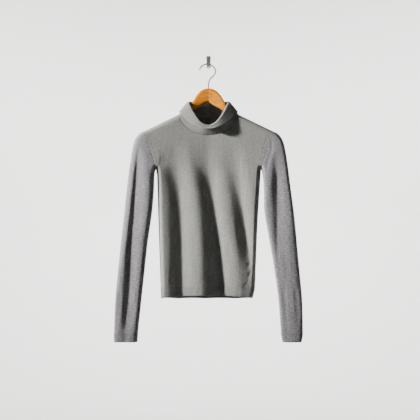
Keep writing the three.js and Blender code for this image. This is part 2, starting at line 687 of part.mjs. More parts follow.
// Band round the hem: the two panels' lowest rows carried down
function hemWall() {
  const frontZ = (x) => HEM_Z + HEM_FRONT_RISE * (1 - (x / ARMPIT_X) ** 2);
  const endZ = (x, face) => (face === 'front' ? frontZ(x) : HEM_Z - HEM_BACK_DROP);
  const ringAt = (down) => {
    const ring = [];
    for (const face of ['front', 'back']) {
      const neckColumns = face === 'front' ? FRONT_NECK_COLUMNS : BACK_NECK_COLUMNS;
      const all = 2 * SHOULDER_COLUMNS + neckColumns;
      for (let n = 0; n < all; n += 1) {
        const i = face === 'front' ? n : all - n;
        const share = columnShare(i, neckColumns);
        const x = lerp(-bodyEdge(-1, HEM_SEAM_Z), bodyEdge(1, HEM_SEAM_Z), share);
        const z = lerp(HEM_SEAM_Z - SEAM, n === 0 ? HEM_Z : endZ(x, face), down);
        ring.push(bodyPoint(lerp(-bodyEdge(-1, z), bodyEdge(1, z), share), z, face));
      }
    }
    return ring;
  };
  const rings = [ringAt(0), ringAt(0.5), ringAt(1)];
  const normals = gridNormals(rings, -1, true).map((ring) => ring.map(levelled));
  const frontColumns = 2 * SHOULDER_COLUMNS + FRONT_NECK_COLUMNS;
  for (const ring of normals) {
    ring[0].set(-1, 0, 0);
    ring[frontColumns].set(1, 0, 0);
  }
  return tubeWall(rings, normals, BAND_IN, BAND_OUT);
}

// Collar: the folded middle sheet of the knit, from the neck seam up the stand, over the fold and
// down the flap. Angle 0 is the right shoulder seam, and the front comes first.
function collarWall(front, back) {
  const base = [];
  for (const cloth of [front, back]) {
    const columns = cloth.all - 2 * SHOULDER_COLUMNS;
    for (let n = 0; n < columns; n += 1) {
      const i = cloth.face === 'front' ? cloth.all - SHOULDER_COLUMNS - n : SHOULDER_COLUMNS + n;
      const angle = (cloth.face === 'front' ? 0 : Math.PI) + neckAngle(n / columns);
      const normal = cloth.normals[cloth.top][i];
      const point = cloth.points[cloth.top][i].clone();
      point.addScaledVector(cloth.neckWays[i], SEAM / 2).addScaledVector(normal, -CLOTH / 2);
      base.push({ point, normal, angle });
    }
  }
  const sheet = base.map(({ point, angle }) => {
    const isFront = angle < Math.PI;
    const lift = Math.abs(Math.sin(angle));
    const turn = Math.cos(angle);
    const rimDepth = isFront ? -RIM_FRONT_DEPTH : RIM_BACK_DEPTH;
    const rim = new THREE.Vector3(
      RIM_X * turn,
      armY(RIM_X * turn) + rimDepth * lift ** RIM_DEPTH_POWER,
      RIM_SIDE_Z - (isFront ? RIM_FRONT_DROP : RIM_BACK_DROP) * lift ** 2,
    );
    const flapOut = isFront ? -FLAP_FRONT_OUT : FLAP_BACK_OUT;
    const setBack = isFront ? FLAP_SET_BACK * Math.sin(2 * angle) ** 2 : 0;
    const armRise = (armY(RIM_X * turn) - armY(FLAP_X * turn)) * FLAP_ARM_SHARE;
    const edge = new THREE.Vector3(
      FLAP_X * turn,
      rim.y + flapOut * lift - armRise + setBack,
      FLAP_SIDE_Z - (isFront ? FLAP_FRONT_DROP : FLAP_BACK_DROP) * lift ** 2,
    );
    return foldedRun(point, rim, edge);
  });
  const rows = sheet[0].map((p, k) => sheet.map((run) => run[k]));
  const normals = gridNormals(rows, 1, true);
  normals[0] = base.map((b) => b.normal);
  return tubeWall(rows, normals, CLOTH / 2, CLOTH / 2);
}

// Points along one folded run: up from the base to the rim, round the fold, down to the flap's edge
function foldedRun(base, rim, edge) {
  const up = between(base, rim).normalize();
  const out = between(rim, edge);
  out.addScaledVector(up, -out.dot(up)).normalize();
  const centre = rim.clone().addScaledVector(up, -FOLD_RADIUS).addScaledVector(out, FOLD_SHIFT);
  const foldPoint = (angle) =>
    centre
      .clone()
      .addScaledVector(out, -FOLD_RADIUS * Math.cos(angle))
      .addScaledVector(up, FOLD_RADIUS * Math.sin(angle));
  const run = [];
  const standEnd = foldPoint(0);
  for (let k = 0; k < STAND_SPANS; k += 1) run.push(base.clone().lerp(standEnd, k / STAND_SPANS));
  for (let k = 0; k < FOLD_SPANS; k += 1) run.push(foldPoint((Math.PI * k) / FOLD_SPANS));
  const flapStart = foldPoint(Math.PI);
  for (let k = 0; k <= FLAP_SPANS; k += 1) run.push(flapStart.clone().lerp(edge, k / FLAP_SPANS));
  return run;
}

// Closed body of a geometry, with its shared vertices merged, for joining and cutting
function toSolid(geometry) {
  const bare = geometry.clone();
  bare.deleteAttribute('normal');
  bare.deleteAttribute('uv');
  const merged = mergeVertices(bare, MERGE_WITHIN);
  const vertProperties = new Float32Array(merged.getAttribute('position').array);
  const triVerts = new Uint32Array(merged.getIndex().array);
  return new wasm.Manifold(new wasm.Mesh({ numProp: 3, vertProperties, triVerts }));
}

function fromSolid(solid) {
  const mesh = solid.getMesh();
  const geometry = new THREE.BufferGeometry();
  geometry.setAttribute('position', new THREE.BufferAttribute(new Float32Array(mesh.vertProperties), 3));
  geometry.setIndex(new THREE.BufferAttribute(new Uint32Array(mesh.triVerts), 1));
  geometry.computeVertexNormals();
  return geometry;
}

// Wooden hanger: oval sections along x, with a bore in the middle of its top for the wire
function woodGeometry() {
  const middle = WOOD_LINES.map((row) => ({ ...row, thick: WOOD_HALF_THICK }));
  const arms = WOOD_ARM_STATIONS.map((x) => {
    const along = (x - WOOD_ARM_FROM) / (WOOD_END_X - WOOD_ARM_FROM);
    const nearEnd = clamp01((x - WOOD_ROUND_FROM_X) / (WOOD_END_X - WOOD_ROUND_FROM_X));
    const rounding = Math.sqrt(1 - nearEnd ** 2 * WOOD_END_CUT);
    const height = lerp(WOOD_ARM_HEIGHT_IN, WOOD_ARM_HEIGHT_OUT, along);
    const under = (CLOTH + WOOD_CLEAR) * Math.hypot(1, SHOULDER_SLOPE);
    const top = shoulderZ(x) - under - (height / 2) * (1 - rounding);
    return { x, top, bottom: top - height * rounding, thick: WOOD_HALF_THICK * rounding };
  });
  const half = [...middle, ...arms];
  const mirrored = half.slice(1).reverse().map((row) => ({ ...row, x: -row.x }));
  const points = [];
  const index = [];
  const stations = [...mirrored, ...half];
  for (const row of stations) {
    const oval = smooth((Math.abs(row.x) - WOOD_FLAT_TO_X) / (WOOD_OVAL_FROM_X - WOOD_FLAT_TO_X));
    const power = lerp(WOOD_FACE_POWER, 1, oval);
    for (let k = 0; k < WOOD_SIDES; k += 1) {
      const angle = (2 * Math.PI * k) / WOOD_SIDES;
      const [across, up] = [Math.cos(angle), Math.sin(angle)].map((v) => Math.sign(v) * Math.abs(v) ** power);
      points.push(row.x, armY(row.x) + row.thick * across, lerp(row.bottom, row.top, 0.5 + 0.5 * up));
    }
  }
  for (let i = 0; i < stations.length - 1; i += 1) {
    for (let k = 0; k < WOOD_SIDES; k += 1) {
      const [a, b] = [i * WOOD_SIDES + k, i * WOOD_SIDES + ((k + 1) % WOOD_SIDES)];
      index.push(a, b, b + WOOD_SIDES, a, b + WOOD_SIDES, a + WOOD_SIDES);
    }
  }
  for (const [start, turned] of [[0, true], [(stations.length - 1) * WOOD_SIDES, false]]) {
    for (let k = 1; k < WOOD_SIDES - 1; k += 1) {
      index.push(start, start + (turned ? k + 1 : k), start + (turned ? k : k + 1));
    }
  }
  const geometry = new THREE.BufferGeometry();
  geometry.setAttribute('position', new THREE.Float32BufferAttribute(points, 3));
  geometry.setIndex(index);
  const bore = new THREE.CylinderGeometry(BORE_RADIUS, BORE_RADIUS, 2 * BORE_DEPTH, BORE_SIDES);
  bore.rotateX(Math.PI / 2).translate(0, HANGER_Y, WOOD_LINES[0].top);
  return fromSolid(toSolid(facingOut(geometry)).subtract(toSolid(bore)));
}

// Wire hook, from its free end over the peg and down into the wood
function hookGeometry() {
  const route = HOOK_ROUTE.map((p) => new THREE.Vector3(p.x, HANGER_Y, p.z));
  route.push(new THREE.Vector3(0, HANGER_Y, WOOD_LINES[0].top - WIRE_INTO_WOOD));
  const section = new THREE.Shape().absarc(0, 0, WIRE_RADIUS, 0, 2 * Math.PI);
  return new THREE.ExtrudeGeometry(section, {
    steps: WIRE_STEPS,
    curveSegments: WIRE_SIDES,
    bevelEnabled: false,
    extrudePath: new THREE.CatmullRomCurve3(route, false, 'centripetal'),
  });
}

// Flat plate with rounded corners, seen from the front, its width changing from top to bottom
function roundedPlate(topZ, lowZ, topWidth, lowWidth, corner, thick, frontY) {
  const corners = [
    [-lowWidth / 2, lowZ],
    [lowWidth / 2, lowZ],
    [topWidth / 2, topZ],
    [-topWidth / 2, topZ],
  ].map(([x, z]) => new THREE.Vector2(x, z));
  const shape = new THREE.Shape();
  corners.forEach((here, i) => {
    const before = corners[(i + 3) % 4].clone().sub(here).setLength(corner).add(here);
    const after = corners[(i + 1) % 4].clone().sub(here).setLength(corner).add(here);
    if (i === 0) shape.moveTo(before.x, before.y);
    else shape.lineTo(before.x, before.y);
    shape.quadraticCurveTo(here.x, here.y, after.x, after.y);
  });
  shape.closePath();
  const plate = new THREE.ExtrudeGeometry(shape, { depth: thick, bevelEnabled: false, curveSegments: 4 });
  return plate.rotateX(Math.PI / 2).translate(0, frontY + thick, 0);
}

function wallHookGeometry() {
  const half = PLATE.height / 2;
  const plate = roundedPlate(half, -half, PLATE.width, PLATE.width, PLATE.corner, PLATE.thick, -PLATE.thick);
  const tab = roundedPlate(
    TAB.topZ, TAB.lowZ, TAB.topWidth, TAB.lowWidth, TAB.corner, TAB.thick, TAB_FRONT_Y);
  const crest = Math.max(...HOOK_ROUTE.map((p) => p.z));
  const length = -TAB_FRONT_Y - PLATE.thick / 2 - TAB.thick / 2;
  const peg = new THREE.CylinderGeometry(PEG_RADIUS, PEG_RADIUS, length, PEG_SIDES);
  peg.translate(0, -length / 2 - PLATE.thick / 2, crest - WIRE_RADIUS - PEG_GAP - PEG_RADIUS);
  return fromSolid(toSolid(plate).add(toSolid(peg)).add(toSolid(tab)));
}

const knit = new THREE.MeshStandardMaterial({ color: 0x8c8b88, roughness: 0.95, metalness: 0 });
const wood = new THREE.MeshStandardMaterial({ color: 0xc98746, roughness: 0.5, metalness: 0 });
const steel = new THREE.MeshStandardMaterial({ color: 0xa9a9a6, roughness: 0.3, metalness: 1 });
const oldBrass = new THREE.MeshStandardMaterial({ color: 0x77725f, roughness: 0.4, metalness: 0.9 });

const group = new THREE.Group();

function addPiece(name, geometry, material) {
  const mesh = new THREE.Mesh(geometry, material);
  mesh.name = name;
  group.add(mesh);
}

const frontCloth = panelCloth('front');
const backCloth = panelCloth('back');
addPiece('front_panel', panelWall(frontCloth), knit);
addPiece('back_panel', panelWall(backCloth), knit);
for (const [side, isLeft] of [['left', true], ['right', false]]) {
  const sleeve = sleeveCloth(frontCloth, backCloth, isLeft);
  addPiece(`sleeve_${side}`, tubeWall(sleeve.rings, sleeve.normals, CLOTH, 0), knit);
  addPiece(`cuff_${side}`, cuffWall(sleeve, isLeft), knit);
}
addPiece('collar', collarWall(frontCloth, backCloth), knit);
addPiece('hem_band', hemWall(), knit);
addPiece('hanger_wood', woodGeometry(), wood);
addPiece('hanger_hook', hookGeometry(), steel);
addPiece('wall_hook', wallHookGeometry(), oldBrass);

export default group;
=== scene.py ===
# A fine-knit turtleneck sweater on a wooden hanger, hung by its wire hook on a small wall hook.
import math

import bpy
import numpy as np
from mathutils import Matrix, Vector


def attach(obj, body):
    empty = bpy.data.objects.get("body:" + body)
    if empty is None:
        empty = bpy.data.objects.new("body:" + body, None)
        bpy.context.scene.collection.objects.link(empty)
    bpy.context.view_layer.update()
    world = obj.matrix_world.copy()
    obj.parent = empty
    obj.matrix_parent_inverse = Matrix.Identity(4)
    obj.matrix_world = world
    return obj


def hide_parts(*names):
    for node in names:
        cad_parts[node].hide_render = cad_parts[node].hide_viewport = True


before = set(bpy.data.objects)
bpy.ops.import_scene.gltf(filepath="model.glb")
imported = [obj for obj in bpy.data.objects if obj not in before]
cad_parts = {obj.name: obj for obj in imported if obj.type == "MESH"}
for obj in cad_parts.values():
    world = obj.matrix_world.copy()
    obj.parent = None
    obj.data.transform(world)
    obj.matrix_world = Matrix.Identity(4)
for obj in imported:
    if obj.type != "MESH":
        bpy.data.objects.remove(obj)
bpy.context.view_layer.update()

# The form is worked out in the part's own millimetres: x to the right, z up, the wall at y = 0.
# Meshes are written in metres.
MM = 0.001

# Cloth: its thickness, and how far a band reaches inward and outward from the cloth's outer face
CLOTH = 2.0
BAND_IN = 2.3
BAND_OUT = 0.5

# Step over which slopes are taken, points round a free edge, and the angle at which shading breaks
SLOPE_STEP = 0.5
LIP_POINTS = 4
SHARP_ANGLE = math.radians(55)

# Outline of the body, seen from the front. The flare and the power bend the armhole and the neck edge.
NECK_X, NECK_Z = 88, -155.5
TIP_X, TIP_Z = 184, -203
ARMPIT_X, ARMPIT_Z = 152, -314
ARMHOLE_FLARE = 1.1
HEM_SEAM_Z = -654
HEM_Z = -683
FRONT_NECK_DROP = 60
BACK_NECK_DROP = 8
NECK_DROP_POWER = 1.25

# Rows of height, left edge and right edge
BODY_EDGES = [
    (-685, 137.3, 128),
    (-654, 138.5, 134.5),
    (-597, 140.5, 137),
    (-468, 145, 142.5),
    (-335, 149, 150.5),
    (-314, 152, 152),
]

# Rows of height, front depth and back depth, from the middle surface
BODY_DEPTHS = [
    (-685, 32, 24),
    (-520, 27, 21),
    (-330, 19, 16),
    (-230, 15, 13.5),
    (-150, 13.5, 13.5),
]

# Distances over which the depth closes at the shoulders and at the side seams
SHOULDER_ROUND = 15
SIDE_ROUND = 15

# Middle surface of the body: it follows the hanger's arms at the top and comes forward to the hem,
# less so at its sides
HANGER_Y = -34
ARM_FORWARD = 14
ARM_REACH = 185
ARM_CURVE = 1.15
HEM_Y = -54
HEM_SIDE_BACK = 8

# Softness of a valley's bottom, as a share of its reach. Above the top height it is the larger one,
# and over the run below that it passes into the smaller one.
FOLD_SOFTNESS = 0.16
FOLD_TOP_SOFTNESS = 0.7
FOLD_TOP_Z = -270
FOLD_TOP_RUN = 130

# Valleys between the flutes. Each row: height, x of the bottom, depth, reach to the left, to the right
FRONT_VALLEYS = [
    [(-230, -98, 0, 60, 44), (-288, -97, 3.5, 60, 48), (-346, -90, 9, 62, 54), (-432, -83, 12, 62, 58),
     (-518, -80, 14, 60, 60), (-605, -78, 15, 58, 60), (-685, -76, 15.5, 58, 60)],
    [(-230, -8, 0, 56, 50), (-288, -4, 3.5, 58, 50), (-346, 4, 10, 60, 54), (-432, 15, 14, 60, 56),
     (-518, 25, 17.5, 62, 58), (-605, 32, 20, 64, 60), (-685, 37, 21.5, 66, 60)],
    [(-230, 68, 0, 54, 42), (-288, 72, 4, 58, 42), (-346, 84, 9, 62, 42), (-432, 97, 12, 64, 38),
     (-518, 109, 12.5, 64, 30), (-562, 115, 9, 60, 26), (-605, 118, 4.5, 58, 24), (-685, 118, 2.5, 58, 24)],
]
BACK_VALLEYS = [
    [(-290, -58, 0, 40, 40), (-360, -60, 6, 42, 42), (-500, -74, 11, 44, 48), (-685, -88, 14, 46, 52)],
    [(-330, 10, 0, 36, 38), (-420, 6, 5, 40, 40), (-560, -2, 9, 46, 44), (-685, -8, 11, 50, 48)],
    [(-270, 70, 0, 40, 36), (-350, 72, 7, 44, 38), (-500, 78, 12, 52, 40), (-685, 82, 15, 56, 42)],
]

# Sections of the sleeves from the armhole down. Each row: x and height of its outer end, x and height
# of its inner end, half of its depth
SLEEVE_LEFT = [
    (184, -203, 152, -314, 14),
    (200, -211, 154, -319, 15),
    (213, -229, 155.5, -326, 16),
    (221, -258, 156.5, -336, 16.5),
    (228, -305, 157, -352, 17),
    (235, -362, 158, -382, 17),
    (243, -440, 163, -440, 17),
    (252, -525, 175, -525, 16.5),
    (260, -605, 183.5, -605, 16),
    (267.5, -690, 192.5, -690, 15),
    (271, -786, 202.5, -786, 14),
]
SLEEVE_RIGHT = [
    (184, -203, 152, -314, 14),
    (201, -212, 154.5, -320, 15),
    (214, -230, 156.5, -328, 16),
    (222, -259, 158, -338, 16.5),
    (229, -305, 159.5, -354, 17),
    (236, -362, 160.5, -384, 17),
    (246, -440, 162, -440, 17),
    (254, -525, 176.5, -525, 16.5),
    (261, -605, 190, -605, 16),
    (268.5, -690, 201, -690, 15),
    (270.5, -786, 208, -786, 13.5),
]
LAST_SECTION = len(SLEEVE_LEFT) - 1

# Flatness of the sections, which is 2 for an ellipse, the sections over which a sleeve's top is bent to
# the armhole, and the share of the width at each edge over which grooves and creases fade out
FLAT_LEFT, FLAT_RIGHT = 4.4, 7.0
ARMHOLE_FADE = 4
SLEEVE_EDGE_FADE = 0.09

# Groove down each sleeve. Each row: section, place across from the outer end, front depth, back depth,
# reach towards the outer end, towards the inner end. Places and reaches are shares of the width.
GROOVE_LEFT = [
    (2.0, 0.28, 0, 0, 0.14, 0.4),
    (3.2, 0.28, 2.5, 0.5, 0.15, 0.46),
    (4.4, 0.3, 4.2, 2, 0.17, 0.52),
    (6, 0.33, 5.6, 2.5, 0.19, 0.56),
    (7, 0.36, 6.3, 2.5, 0.21, 0.56),
    (8, 0.41, 7, 2.5, 0.25, 0.53),
    (9, 0.45, 7, 2, 0.29, 0.5),
    (9.7, 0.46, 5, 1, 0.3, 0.47),
    (10, 0.46, 2.5, 1, 0.3, 0.46),
]
GROOVE_RIGHT = [
    (2, 0.46, 0, 0, 0.34, 0.34),
    (3.2, 0.46, 3, 1.5, 0.4, 0.4),
    (4.2, 0.48, 5.5, 2, 0.44, 0.44),
    (5, 0.52, 6.5, 2.5, 0.48, 0.44),
    (6, 0.56, 6, 2.5, 0.5, 0.42),
    (6.6, 0.66, 5, 2.5, 0.54, 0.32),
    (7.2, 0.76, 3, 2.5, 0.5, 0.22),
    (7.8, 0.82, 1, 2.5, 0.5, 0.18),
    (10, 0.76, 0.5, 2, 0.4, 0.22),
]

# Cuffs: their height, and x of the outer and the inner end at the bottom
CUFF_DROP = 23
CUFF_LEFT = (270.7, 204.2)
CUFF_RIGHT = (266.4, 212.3)

# Middle surface of the sleeves. Each row: height, y
SLEEVE_Y = [
    (-809, -70),
    (-605, -64),
    (-440, -57),
    (-314, -51),
    (-203, -48),
]

# Collar: its fold, which is the rim, and the free edge of its flap. Drops are down from the sides to
# the middle of the front and the back. Depths are from the hanger's line, and outs from the rim.
RIM_X = 56
RIM_SIDE_Z = -119.5
RIM_FRONT_DROP, RIM_BACK_DROP = 68, -5
RIM_FRONT_DEPTH, RIM_BACK_DEPTH = 31, 15
RIM_DEPTH_POWER = 0.8
FLAP_X = 85
FLAP_SIDE_Z = -147
FLAP_FRONT_DROP, FLAP_BACK_DROP = 51, 7
FLAP_FRONT_OUT, FLAP_BACK_OUT = 6, 5

# Share of the arms' sweep that the flap follows, and how far its front lies back beside its middle
FLAP_ARM_SHARE = 0.6
FLAP_SET_BACK = 5

# Radius of the fold, and how far its middle lies outside the rim
FOLD_RADIUS = 3.0
FOLD_SHIFT = 2.15

# Grid of the cloth: columns over a shoulder and over the neck, rows beside an armhole and below it, the
# share of the width that a shoulder's columns take, and how closely columns crowd towards the sides
SHOULDER_COLUMNS = 34
NECK_COLUMNS = 84
ARMHOLE_ROWS = 40
LOWER_ROWS = 110
SHOULDER_SHARE = 0.26
EDGE_CROWDING = 1.5
NECK_CROWDING = 0.6
ALL_COLUMNS = 2 * SHOULDER_COLUMNS + NECK_COLUMNS

# Rows of a band, and spans of the collar's stand, its fold and its flap
BAND_ROWS = 10
STAND_SPANS = 16
FOLD_SPANS = 10
FLAP_SPANS = 16


def clamp01(value):
    return np.clip(value, 0, 1)


def lerp(start, end, share):
    return start + (end - start) * share


def smooth(value):
    value = clamp01(value)
    return value * value * (3 - 2 * value)


def curve(table, column, place):
    """Value of one column of a table at a place along its first column, on a smooth curve."""
    rows = sorted(table)
    keys = np.array([row[0] for row in rows], dtype=float)
    values = np.array([row[column] for row in rows], dtype=float)
    slopes = np.empty_like(values)
    slopes[1:-1] = (values[2:] - values[:-2]) / (keys[2:] - keys[:-2])
    slopes[0] = (values[1] - values[0]) / (keys[1] - keys[0])
    slopes[-1] = (values[-1] - values[-2]) / (keys[-1] - keys[-2])
    place = np.clip(place, keys[0], keys[-1])
    i = np.clip(np.searchsorted(keys, place, side="right") - 1, 0, len(keys) - 2)
    span = keys[i + 1] - keys[i]
    t = (place - keys[i]) / span
    t2 = t * t
    t3 = t2 * t
    start = (2 * t3 - 3 * t2 + 1) * values[i] + (t3 - 2 * t2 + t) * span * slopes[i]
    end = (3 * t2 - 2 * t3) * values[i + 1] + (t3 - t2) * span * slopes[i + 1]
    return start + end


def round_off(distance, radius):
    """Quarter-round rise from 0 at an edge to 1 at the given distance inside it."""
    rest = 1 - clamp01(distance / radius)
    return np.sqrt(np.maximum(0, 1 - rest * rest))


def dome(t):
    """Soft hump that is 1 at 0 and ends level at -1 and 1."""
    return np.maximum(0, 1 - t * t) ** 3


def fold(t, softness=FOLD_SOFTNESS):
    """Trough that is 1 at 0, with its steepest sides close to 0 and round crests at -1 and 1."""
    bend = np.sqrt(t * t + softness**2) - softness
    end = np.sqrt(1 + softness**2) - softness
    return np.maximum(0, 1 - bend / end) ** 2


def unit(vectors):
    length = np.linalg.norm(vectors, axis=-1, keepdims=True)
    return vectors / np.maximum(length, 1e-9)


def level(vectors):
    """The same directions without their upward part."""
    return unit(vectors * np.array([1, 1, 0]))


def run_length(points, axis):
    """Length along rows or columns of points, from the first one."""
    steps = np.linalg.norm(np.diff(points, axis=axis), axis=-1)
    start = np.zeros_like(np.take(steps, [0], axis=axis))
    return np.concatenate([start, np.cumsum(steps, axis=axis)], axis=axis)


# Body

SHOULDER_SLOPE = (NECK_Z - TIP_Z) / (TIP_X - NECK_X)


def arm_y(x):
    return HANGER_Y - ARM_FORWARD * (np.abs(x) / ARM_REACH) ** ARM_CURVE


def shoulder_z(x):
    return NECK_Z - (np.abs(x) - NECK_X) * SHOULDER_SLOPE


def middle_y(x, z):
    down = smooth((TIP_Z - z) / (TIP_Z - HEM_Z))
    low = HEM_Y + HEM_SIDE_BACK * (x / ARMPIT_X) ** 2
    return lerp(arm_y(x), low, down)


def body_edge(x, z):
    return np.where(x < 0, curve(BODY_EDGES, 1, z), curve(BODY_EDGES, 2, z))


def body_half(x, z, is_front):
    """Half depth of the body without its flutes: it closes at the shoulders and the side seams."""
    side = np.hypot(np.maximum(0, z - ARMPIT_Z), np.maximum(0, body_edge(x, z) - np.abs(x)))
    depth = curve(BODY_DEPTHS, 1 if is_front else 2, z)
    return depth * round_off(shoulder_z(x) - z, SHOULDER_ROUND) * round_off(side, SIDE_ROUND)


def flute_depth(x, z, valleys):
    total = np.zeros_like(x)
    softness = lerp(FOLD_TOP_SOFTNESS, FOLD_SOFTNESS, smooth((FOLD_TOP_Z - z) / FOLD_TOP_RUN))
    for valley in valleys:
        middle, depth, to_left, to_right = (curve(valley, column, z) for column in range(1, 5))
        reach = np.where(x < middle, to_left, to_right)
        total += np.maximum(0, depth) * fold((x - middle) / reach, softness)
    return total


# Fine creases, which are the scene's own. Each starts at one x and height and ends at another, has
# a bend, a half width at its start and at its end, and a depth, which is negative on a ridge.
FRONT_CREASES = [
    (-156, -306, -116, -268, 6, 18, 26, 0.6),
    (154, -306, 118, -270, -5, 16, 24, 0.7),
    (130, -572, 112, -604, 4, 7, 12, 0.9),
    (126, -596, 108, -628, -3, 6, 9, 0.8),
    (128, -612, 118, -650, 3, 5, 8, -0.7),
    (120, -636, 98, -660, 4, 5, 9, 0.6),
    (127, -640, 121, -674, -2, 5, 7, 0.7),
    (58, -500, 66, -628, 3, 12, 18, 0.8),
    (-34, -470, -30, -600, 5, 14, 18, 0.6),
    (-98, -560, -106, -676, 3, 10, 14, 0.8),
]
BACK_CREASES = [
    (-154, -306, -122, -270, 6, 9, 13, 1.4),
    (152, -310, 126, -276, -5, 8, 12, 1.3),
    (-20, -180, 26, -186, -9, 9, 12, 0.9),
    (-128, -560, -110, -640, 5, 7, 10, 1.4),
    (120, -520, 108, -650, -5, 8, 12, 1.2),
    (36, -400, 44, -520, 4, 8, 12, 0.8),
    (-58, -380, -66, -500, -4, 9, 12, 0.9),
    (2, -560, -4, -668, 3, 7, 9, 1.0),
]
CREASE_ENDS = 0.35


def crease_depth(x, z, creases):
    total = np.zeros_like(x)
    for x0, z0, x1, z1, bend, width_0, width_1, depth in creases:
        run_x, run_z = x1 - x0, z1 - z0
        length = math.hypot(run_x, run_z)
        along = ((x - x0) * run_x + (z - z0) * run_z) / length**2
        bow = 4 * bend * clamp01(along) * (1 - clamp01(along))
        across = ((x - x0) * run_z - (z - z0) * run_x) / length - bow
        ends = smooth(along / CREASE_ENDS) * smooth((1 - along) / CREASE_ENDS)
        total += depth * ends * dome(across / lerp(width_0, width_1, clamp01(along)))
    return total


def body_y(x, z, is_front):
    valleys, creases = (FRONT_VALLEYS, FRONT_CREASES) if is_front else (BACK_VALLEYS, BACK_CREASES)
    side = clamp01((body_edge(x, z) - np.abs(x)) / SIDE_ROUND)
    inward = flute_depth(x, z, valleys) + crease_depth(x, z, creases)
    out = body_half(x, z, is_front) - inward * side
    return middle_y(x, z) - (out if is_front else -out)


def body_points(x, z, is_front):
    return np.stack([x, body_y(x, z, is_front), z], axis=-1)


def body_normals(x, z, is_front):
    slope_x = body_y(x + SLOPE_STEP, z, is_front) - body_y(x - SLOPE_STEP, z, is_front)
    slope_z = body_y(x, z + SLOPE_STEP, is_front) - body_y(x, z - SLOPE_STEP, is_front)
    facing = 1 if is_front else -1
    ones = np.ones_like(x)
    return unit(facing * np.stack([slope_x / (2 * SLOPE_STEP), -ones, slope_z / (2 * SLOPE_STEP)], axis=-1))


def column_shares():
    """Shares of the width at which the columns stand, crowded towards the sides."""
    edge = SHOULDER_SHARE * (np.arange(SHOULDER_COLUMNS) / SHOULDER_COLUMNS) ** EDGE_CROWDING
    middle = np.linspace(SHOULDER_SHARE, 1 - SHOULDER_SHARE, NECK_COLUMNS + 1)
    return np.concatenate([edge, middle, 1 - edge[::-1]])


def neck_angles():
    """Angles of the neck columns, from 0 at one shoulder seam to pi at the other."""
    share = np.linspace(0, 1, NECK_COLUMNS + 1)
    return np.pi * lerp(share, 0.5 - 0.5 * np.cos(np.pi * share), NECK_CROWDING)


def top_line(drop):
    """Shoulder seam, neck edge and shoulder seam, from left to right."""
    angle = neck_angles()[::-1]
    neck_x = NECK_X * np.cos(angle)
    neck_z = NECK_Z - drop * np.sin(angle) ** NECK_DROP_POWER
    shoulder_x = lerp(TIP_X, NECK_X, np.arange(SHOULDER_COLUMNS) / SHOULDER_COLUMNS)
    x = np.concatenate([-shoulder_x, neck_x, shoulder_x[::-1]])
    z = np.concatenate([shoulder_z(shoulder_x), neck_z, shoulder_z(shoulder_x)[::-1]])
    return x, z


def panel_flat(drop):
    """Flat places of a panel's points, in rows from the hem seam up to the shoulders and neck."""
    shares = column_shares()[None, :]
    low_z = lerp(HEM_SEAM_Z, ARMPIT_Z, np.arange(LOWER_ROWS) / LOWER_ROWS)[:, None]
    ones = np.ones_like(shares)
    low_x = lerp(-body_edge(-ones, low_z), body_edge(ones, low_z), shares)
    rise = (0.5 - 0.5 * np.cos(np.pi * np.arange(ARMHOLE_ROWS + 1) / ARMHOLE_ROWS))[:, None]
    top_x, top_z = top_line(drop)
    armhole_x = ARMPIT_X + (TIP_X - ARMPIT_X) * rise**ARMHOLE_FLARE
    chest_x = lerp(-ARMPIT_X, ARMPIT_X, shares)
    side_x = lerp(-armhole_x, armhole_x, shares)
    corner_x = lerp(chest_x, lerp(-TIP_X, TIP_X, shares), rise)
    high_x = lerp(chest_x, top_x[None, :], rise) + side_x - corner_x
    high_z = lerp(ARMPIT_Z, top_z[None, :], rise)
    return np.concatenate([low_x, high_x]), np.concatenate([low_z * ones, high_z])


def panel_cloth(is_front):
    """A panel's points and normals, in rows from the hem seam up."""
    x, z = panel_flat(FRONT_NECK_DROP if is_front else BACK_NECK_DROP)
    points = body_points(x, z, is_front)
    normals = body_normals(x, z, is_front)
    slant = unit(np.array([SHOULDER_SLOPE, 0, 1.0]))
    normals[0] = level(normals[0])
    normals[-1, : SHOULDER_COLUMNS + 1] = slant * np.array([-1, 0, 1])
    normals[-1, -SHOULDER_COLUMNS - 1 :] = slant
    normals[:LOWER_ROWS, 0] = (-1, 0, 0)
    normals[:LOWER_ROWS, -1] = (1, 0, 0)
    normals[LOWER_ROWS, [0, -1]] = (0, 0, -1)
    return points, normals


# Meshes

def half_round(outer, inner, way):
    """Rows of points round a free edge, from its outer to its inner points."""
    middle = (outer + inner) / 2
    radius = (outer - inner) / 2
    reach = np.linalg.norm(radius, axis=-1, keepdims=True)
    angles = np.pi * np.arange(1, LIP_POINTS + 1) / (LIP_POINTS + 1)
    return [middle + radius * math.cos(a) + way * reach * math.sin(a) for a in angles]


def wall_loops(outer, normals, outward, inward, start_lip=False, end_lip=False):
    """Closed loops of points round a cloth wall, from rows of outer points.

    The first axis of the result runs along the rows' columns, the second one round the wall. Also
    gives the row of the outer points that each point of a loop belongs to.
    """
    front = outer + normals * outward
    back = outer - normals * inward
    rows = list(front)
    sources = list(range(len(front)))
    last = len(front) - 1
    if end_lip:
        rows += half_round(front[-1], back[-1], unit(outer[-1] - outer[-2]))
        sources += [last] * LIP_POINTS
    rows += list(back[::-1])
    sources += list(range(last, -1, -1))
    if start_lip:
        rows += half_round(back[0], front[0], unit(outer[0] - outer[1]))
        sources += [0] * LIP_POINTS
    return np.stack(rows, axis=1), np.array(sources)


